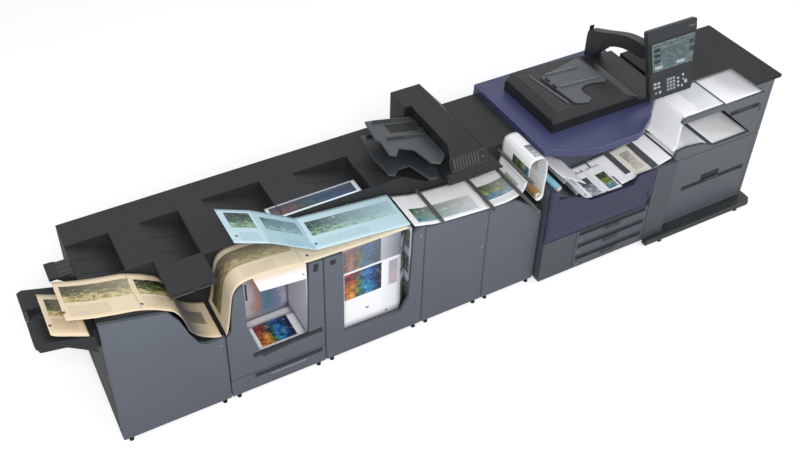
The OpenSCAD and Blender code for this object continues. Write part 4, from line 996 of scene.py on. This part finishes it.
# ---- Scanner and document feeder ----
# A black glass bed with a hinged feeder on it, whose raised head tapers to a low sheet exit.
# Bed and lid are mouldings; the glass is set flush with the bed, and the lid turns on rear hinges.
rounded("document_feeder", surface("lid_black", "#17181A", dust=0.03, rough=0.4), 7, "document_lid")
dress(surface("bed_black", "#141517", dust=0.03, rough=0.38), "scanner_bed")
low, high = span("scanner_bed")
x, y, top = low.x, low.y, high.z
slab((x + 22, y + 20, top - 0.8), (x + 620, high.y - 70, top + 0.1), 0.4, mat=1)
slab((x + 40, y + 34, top - 0.8), (x + 602, high.y - 84, top + 0.18), 0.3)
for left in (x + 705, x + 875):
    slab((left, y + 20, top - 0.5), (left + 2.5, high.y - 20, top + 0.8), 0.4, mat=1)
slab((x + 700, y + 16, top - 0.5), (x + 880, y + 19, top + 0.8), 0.4, mat=1)
for front_y in (y + 300 + i * 14 for i in range(8)):
    slab((x + 740, front_y, top - 0.4), (x + 840, front_y + 5, top + 0.5), 0.5, mat=1)
keep("scanner_glass", [surface("glass_dark", "#16191B", dust=0.01, rough=0.08, coat=0.6), trim_black])

low, high = span("document_feeder")
x, y, z, top = low.x, low.y, low.z, high.z
slab((x + 44, y + 34, top - 1), (x + 140, high.y - 60, top + 2.2), 1.6, 3)
slab((x + 6, y + 30, top - 44), (x + 9, high.y - 40, top - 41.5), 0.5, mat=2)
slab((x + 60, y - 0.9, z + 9), (x + 570, y + 0.8, z + 11.5), 0.5, mat=2)
slab((x + 20, y + 3.6, z + 21), (x + 24, y + 12, z + 36), 0.4, mat=2)
strip = Vector((52, -358))
slab((0, -4, 0), (strip.length, 4, 15), 2.5, 3, turned(math.atan2(strip.y, strip.x), "Z", 3106, 640, top - 6), 1)
for left in (x + 52, x + 82):
    slab((left, y + 60, top + 1.8), (left + 1.6, high.y - 90, top + 3.0), 0.4, mat=2)
slab((x + 610, y + 70, z + 17.5), (x + 668, y + 430, z + 20), 1.0)
slab((x + 640, y + 180, z + 19), (x + 652, y + 320, z + 24), 1.6, 3, mat=1)
keep("document_head", [surface("head_black", "#1C1E20", dust=0.02),
                       surface("lid_grey", "#6B6E72", dust=0.04), trim_black], "document_lid")

# Sheet tray on the lid: a ribbed grey moulding with two side guides.
rounded("document_tray", surface("document_tray_grey", "#515458", dust=0.05), 3, "document_lid")
tray_rise, tray_long = 30, 440
turn = turned(math.atan(tray_rise / tray_long), "Y", x + 150, y, top + 0.4)
for x0, x1, y0 in ((70, 380, 236), (60, 330, 390)):
    slab((x0, y0, 11.4), (x1, y0 + 10, 25), 2.5, 3, turn)
for k in range(5):
    slab((110 + k * 3, 250 + k * 29, 11.6), (402 - k * 6, 253 + k * 29, 13.4), 0.8, turn=turn)
slab((200, 110, -0.3), (206, 170, 1.2), 0.4, turn=turn, mat=1)
for y in (262, 340):
    rod((40, y - 20, 15), (40, y + 20, 15), 8, turn=turn, mat=1)
keep("document_tray_guides", [surface("guide_grey", "#686C70", dust=0.04), trim_black], "document_lid")

# ---- Arm and operator panel ----
# A black moulded arm from the rear holds the tilting panel, a touch screen above a keypad.
# The panel is a grey shell with a flush bezel; its keys are rubber domes, four with moulded digits.
rounded("panel_arm", surface("arm_black", "#1A1C1E", dust=0.03), 6)
rounded("operator_panel", surface("panel_shell_grey", "#232629", dust=0.03), 4, "control_panel")
low, high = span("panel_arm")
for x in (low.x - 0.8, high.x - 0.8):
    for z in (1120, 1180):
        rod((x, 800, z), (x + 1.6, 800, z), 6)
    slab((x, 775, 1085), (x + 1.6, 830, 1087), 0.3, mat=1)
slab((low.x + 14, high.y - 1, 1100), (high.x - 14, high.y + 1.2, 1300), 1.0, mat=1)
screw_dark = surface("screw_dark", "#3D4042", metal=0.6, rough=0.3)
keep("arm_seams", [screw_dark, trim_black])

tilt = math.radians(18)
panel = turned(-tilt, "X", engine_x + 833, 98, span("operator_panel")[0].z + 34 * math.sin(tilt)) @ \
    Matrix.Rotation(math.pi / 2, 4, "X")


def display(place, u, v):
    """The screen's picture: a job list, a row of round icons and blocks of plain colour."""
    glass = mix(between(cloud(place, 30.0, 4), 0.35, 0.65), "#525F5E", "#707C7D")
    rows = (v * 62.0).math("FRACT").math("LESS_THAN", 0.45)
    broken = cloud(place, 70.0, 2).math("GREATER_THAN", 0.47)
    colour = mix(patch(u, v, 0.085, 0.3, 0.045, 0.12) * rows * broken * 0.7, glass, "#2C4644")
    for box, code in (((0.012, 0.345, 0.165, 0.170), "#3F5450"), ((0.085, 0.300, 0.128, 0.140), "#48605F"),
                      ((0.016, 0.066, 0.128, 0.152), "#28343A"), ((0.016, 0.066, 0.092, 0.116), "#28343A"),
                      ((0.016, 0.066, 0.056, 0.080), "#2B3A3E"), ((0.306, 0.344, 0.118, 0.150), "#31464A"),
                      ((0.306, 0.344, 0.070, 0.102), "#31464A"), ((0.100, 0.180, 0.014, 0.034), "#4A686B"),
                      ((0.196, 0.262, 0.014, 0.034), "#A7B4B6"), ((0.020, 0.080, 0.014, 0.034), "#A7B4B6")):
        colour = mix(patch(u, v, *box), colour, code)
    return colour


def key(x, y, wide, tall, low, high, edge=1.2, mat=0):
    """Adds a block to the panel's face, from its corner and size in the face's plane."""
    slab((x, y, low), (x + wide, y + tall, high), edge, turn=panel, mat=mat)


shape([(3, 392), (402, 392), (405, 458), (400, 461), (8, 461), (3, 455)], -0.5, 1.4, 0.8, panel, 1)
shape([(20, 178), (362, 178), (396, 382), (20, 382)], -0.5, 3.2, 1.6, panel)
shape([(22, 136), (356, 136), (358, 142), (22, 142)], -0.5, 1.2, 0.5, panel)
key(4, 20, 10, 364, -0.5, 2.4, 1.0)
key(20, 28, 302, 100, -0.4, 1.6, mat=1)
key(28, 420, 122, 4, 1.2, 2.2, 0.4)
for i in range(4):
    for j in range(3):
        key(140 + j * 25, 34 + i * 23, 20, 16, 1.2, 4.0, 1.4, 2)
    key(34 + (i % 2) * 30, 74 + (i // 2) * 24, 22, 14, 1.2, 3.4, mat=3)
for i in range(3):
    key(226, 40 + i * 26, 18, 14, 1.2, 3.4, mat=3)
    rod((350 + i * 15, 424, 1.2), (350 + i * 15, 424, 2.4), 3.4, 20, 0.5, panel, 3)
for x, y, r, mat in ((277, 112, 9, 3), (298, 62, 13, 3), (265, 41, 8, 3), (83, 42, 10, 3), (50, 42, 8, 2),
                     (277, 82, 8, 2)):
    rod((x, y, 1.0), (x, y, 4.0), r, 32, 1.0, panel, mat)
keep("panel_face", [surface("bezel_dark", "#15181A", dust=0.02, rough=0.3),
                    surface("panel_band", "#24282B", dust=0.02), surface("key_grey", "#8A9094", dust=0.02),
                    surface("key_light", "#A9AEB0", dust=0.02)], "control_panel")
uv = bench.loops.layers.uv.new("run")
corners = [(28, 186), (356, 186), (389, 374), (28, 374)]
for z, ring in ((3.0, corners[::-1]), (3.7, corners)):
    face = bench.faces.new([bench.verts.new(panel @ (Vector((x, y, z)) * MM)) for x, y in ring])
    for loop, (x, y) in zip(face.loops, ring):
        loop[uv].uv = ((x - 28) * MM, (y - 186) * MM)
keep("touch_screen", sheet_mat("screen_picture", display, 0.16), "control_panel")

# Number keys: plain digits pressed into a few of the keys, each a few strokes on a grid of 3 by 4.
strokes = {"1": ((2, 0, 2, 4),), "7": ((0, 4, 3, 4), (3, 0, 3, 4)), "4": ((0, 2, 0, 4), (0, 2, 3, 2), (3, 0, 3, 4)),
           "0": ((0, 0, 3, 0), (3, 0, 3, 4), (0, 4, 3, 4), (0, 0, 0, 4))}
unit, pen = 2.2, 1.2
for digit, i, j in (("1", 3, 0), ("4", 2, 0), ("7", 1, 0), ("0", 0, 1)):
    for x0, y0, x1, y1 in strokes[digit]:
        key(146 + j * 25 + x0 * unit, 37 + i * 23 + y0 * unit, (x1 - x0) * unit + pen, (y1 - y0) * unit + pen,
            3.6, 4.3, 0.2)
keep("key_digits", surface("digit_dark", "#24282B"), "control_panel")

# ---- Paper feeder ----
# Two deep drawers in a grey steel cabinet; the upper one is broken out over its white sheets.
# Each drawer's grip is a black lined slot; a level gauge is let in beside it.
feeder_paint = surface("feeder_paint", "#5A6165", "#52565C", top=1.1, dust=0.04)
dress(feeder_paint, "feeder_body", "feeder_drawer_upper", "feeder_drawer_lower")
rounded("feeder_top_plate", surface("plate_black", "#1E1F20", dust=0.04, rough=0.5, shine=0.3), 4)
face, gap = span("feeder_drawer_lower")[0].y, span("feeder_drawer_lower")[1].z
for name, body, side_share, grips in (
        ("lower", "feeder_drawer", 0.96, ((146, 699, gap - 299, gap - 275), (315, 465, gap - 276, gap - 226))),
        ("upper", "line", 0.06, ((437, 685, 890, 914),))):
    for x0, x1, z0, z1 in grips:
        x0, x1 = feeder_x + x0, feeder_x + x1
        slab((x0 + 1, face + 2.5, z0 + 1), (x1 - 1, face + 12, z1 - 1), 0.8)
        slab((x0 - 4, face - 4, z1 - 1), (x1 + 4, face + 2, z1 + 6), 2.4, 3)
        if x1 - x0 > 200:
            slab((x0 - 4, face - 3, z0 - 5), (x1 + 4, face + 1, z0 + 1), 1.8, 3, mat=1)
            slab(((x0 + x1) / 2 - 60, face + 1, z0 + 3), ((x0 + x1) / 2 + 60, face + 5, z1 - 4), mat=1)
        for x in (x0 - 4, x1):
            slab((x, face - 3, z0 - 3), (x + 4, face + 1, z1 + 4), 1.4)
    low, high = span("feeder_drawer_" + name)
    mid = (low.z + high.z) / 2
    slab((high.x - 26, face - 1.6, low.z + 20), (high.x - 23.6, face + 0.6, high.z - 40), 0.5, mat=2)
    slab((low.x + 700, face - 1.8, mid - 26), (low.x + 716, face + 0.6, mid + 26), 1.4, 3, mat=1)
    slab((low.x + 0.5, face - 2.2, low.z + 4), (low.x + 6, face + 0.4, low.z + (high.z - low.z) * side_share), 0.5)
    keep("feeder_grips_" + name, [trim_black, surface("feeder_gauge_" + name, "#3A3E42"), feeder_paint], body)

# White pages: one on each level at the right, and the run that drops to the engine.
faint_inks, speck = ("#8A9098", "#B4B8BE", "#D2D4D8"), (0.01, 0.02, 0.01, 0.02)
# All three feeder pages glow faintly in their own colour: painted light that lifts them out of the shade under the top
# plate.
feeder_mats = [
    printed("feeder_page_plain", ("#FAFAFC", *faint_inks), speck, painted_glow=0.15, seed=17.0),
    printed("feeder_page_film", ("#F4F6F8", *faint_inks), speck, ghost=(0.20, -0.05, 0.30), ghost_colour="#9AA2A8",
            painted_glow=0.10, seed=18.0),
    printed("feeder_page_top", ("#FBFBFD", *faint_inks), speck, painted_glow=0.20, seed=22.0)]
upper_level, lower_level = 1001.3, 635.3
paper_run("feeder_upper_run", off(feeder_x, 0, (363, upper_level), (108, upper_level), (47, upper_level), (32, 989.3),
                                  (27, 921.3), (26, 771.3), (21, 746), (4, 716)),
          feeder_mats, [(0, 190, 1), (190, 330, 0), (330, 640, 0)], 12.3, lift=0.5, steps=4, wave=0.4,
          replaces=["feeder_sheets"])
paper_run("feeder_lower_run", off(feeder_x, 0, (359, lower_level), (175, lower_level), (105, 637.8), (70, 649.3),
                                  (40, 667.3), (4, 686)),
          feeder_mats, [(0, 150, 1), (150, 375, 0)], 12.3, lift=0.5, steps=4, wave=0.4)
for z, x in ((upper_level, 379), (lower_level, 392)):
    for k in range(2):
        leaf((feeder_x + x + k * 1.5, 3 + k, z - k), X, Y, (707 - x - k * 2, 300 - k), 0.9, 0.3, cells=(14, 12),
             seed=k + z)
keep("feeder_top_pages", feeder_mats[2])

# ---- Plinth, castors and feet ----
# Powder-coated plinth with a bevelled front, on castors; the other machines stand on rubber feet.
# Each front foot has a rubber pad ahead of it, which shows under the doors.
rounded("feeder_plinth", surface("plinth_powder", "#272C2D", dust=0.08, grain=500.0), 8)
foot_rubber = surface("foot_rubber", "#1B1D1E", dust=0.10, rough=0.6)
dress(foot_rubber, "levelling_feet")
foot_inset = 46
for name in module_names:
    low, high = span(name + "_cabinet")
    for x in (low.x + foot_inset, high.x - foot_inset):
        slab((x - 11, 8, 0.6), (x + 11, low.y + foot_inset, 8), 2.5, 3)
        rod((x, 20, 0.6), (x, 20, 13), 14, 32, 2)
keep("front_foot_pads", foot_rubber)
low, high = span("feeder_plinth")
front_y, top = low.y, high.z
slab((low.x + 20, front_y + 4, top - 0.5), (high.x - 50, front_y + 10, top + 1.5), 0.7)
slab((high.x - 10, front_y + 60, top - 0.5), (high.x - 4, high.y - 20, top + 1.5), 0.7)
for x in (feeder_x - 105, feeder_x + 255, feeder_x + 615):
    rod((x, front_y + 30, top - 0.5), (x, front_y + 30, top + 2), 7, mat=1)
keep("plinth_edges", [surface("plinth_line", "#4A5051", dust=0.05), screw_dark])
for x in (feeder_x - 42, feeder_x + 665):
    for y in (front_y + 4, front_y + 20):
        rod((x - 13, y, 8), (x + 13, y, 8), 7.6, 24, 1.5)
    slab((x - 16, front_y + 4, 9), (x + 16, front_y + 20, 16), 2, mat=1)
keep("plinth_castors", [foot_rubber, screw_dark])


# ---- Sides and rear ----
# Plain steel service panels in shallow seams, held by screws at their corners.
# Louvres are pressed in for the fans; the engine has a power inlet and sockets.
def seams(x0, x1, rear, levels):
    """Adds level joints to a rear panel."""
    for z in levels:
        slab((x0, rear - 0.5, z), (x1, rear + 0.8, z + 2.2), 0.4, mat=1)


def screws(xs, rear, levels):
    """Adds round screw heads to a rear panel."""
    for x in xs:
        for z in levels:
            rod((x, rear - 0.4, z), (x, rear + 2.0, z), 5, 16, 0.8)


def louvres(x0, x1, rear, proud, z, count, pitch, tall):
    """Adds a stack of level louvres to a rear panel, upward from z."""
    for i in range(count):
        slab((x0, rear - 0.4, z + i * pitch), (x1, rear + proud, z + i * pitch + tall), 0.6, mat=1)


rear = span("stacker_cabinet")[1].y
for name in module_names:
    low, high = span(name + "_cabinet")
    x0, x1, mid = low.x + 16, high.x - 16, (low.x + high.x) / 2
    seams(x0, x1, rear, (70, 560, 985))
    for x in (x0, x1 - 2):
        slab((x, rear - 0.5, 70), (x + 2.2, rear + 0.8, 987), 0.4, mat=1)
    screws((x0 + 14, x1 - 14), rear, (90, 540, 580, 965))
    louvres(mid - 90, mid + 90, rear, 0.9, 700, 9, 14, 6)
keep("cabinet_rear_details", [lock_steel, pit_black])

# Engine's rear: long louvres, a round fan grille, and the inlet with three sockets beside it.
rear = span("engine_body")[1].y
seams(engine_x + 20, feeder_x - 26, rear, (60, 480, 940))
louvres(engine_x + 620, engine_x + 860, rear, 1.0, 560, 14, 16, 7)
arcs, filled = 24, 0.72
for r in (92, 70, 48, 26):
    for a in range(arcs):
        ends = [(engine_x + 270 + r * math.cos(t), rear + 0.6, 700 + r * math.sin(t))
                for t in (math.tau * a / arcs, math.tau * (a + filled) / arcs)]
        rod(*ends, 1.6, 6, 0, mat=1)
slab((engine_x + 80, rear - 0.5, 96), (engine_x + 200, rear + 2.5, 170), 2.5, 3, mat=2)
slab((engine_x + 96, rear + 2, 112), (engine_x + 140, rear + 4, 150), mat=1)
for x in (engine_x + 148 + k * 17 for k in range(3)):
    slab((x, rear + 2, 118), (x + 12, rear + 3.6, 134), 0.8, mat=1)
screws((engine_x + 34, feeder_x - 46), rear, (84, 460, 500, 920))
keep("engine_rear_details", [lock_steel, pit_black, trim_black])

rear = span("feeder_body")[1].y
seams(feeder_x + 20, feeder_end - 20, rear, (80, 640, 1070))
for z in (80, 640, 1070):
    slab((feeder_end - 0.5, 40, z), (feeder_end + 0.8, rear - 30, z + 2.0), 0.4, mat=1)
for y in (50, rear - 40):
    for z in (110, 610, 1040):
        rod((feeder_end - 0.4, y, z), (feeder_end + 2.0, y, z), 5, 16, 0.8)
louvres(feeder_x + 300, feeder_x + 480, rear, 1.0, 300, 10, 15, 7)
keep("feeder_rear_details", [lock_steel, slot_grey])

# Finisher's left side, under the output tray.
for z in (70, 985):
    slab((-0.8, 40, z), (0.5, 830, z + 2.2), 0.4, mat=1)
for y, top in ((40, 800), (828, 987)):
    slab((-0.8, y, 70), (0.5, y + 2.2, top), 0.4, mat=1)
for y in (56, 812):
    for z in (90, 540):
        rod((0.4, y, z), (-2.0, y, z), 5, 16, 0.8)
for z in (180 + i * 15 for i in range(8)):
    slab((-1.0, 560, z), (0.4, 720, z + 7), 0.6, mat=1)
keep("finisher_side_details", [lock_steel, pit_black])
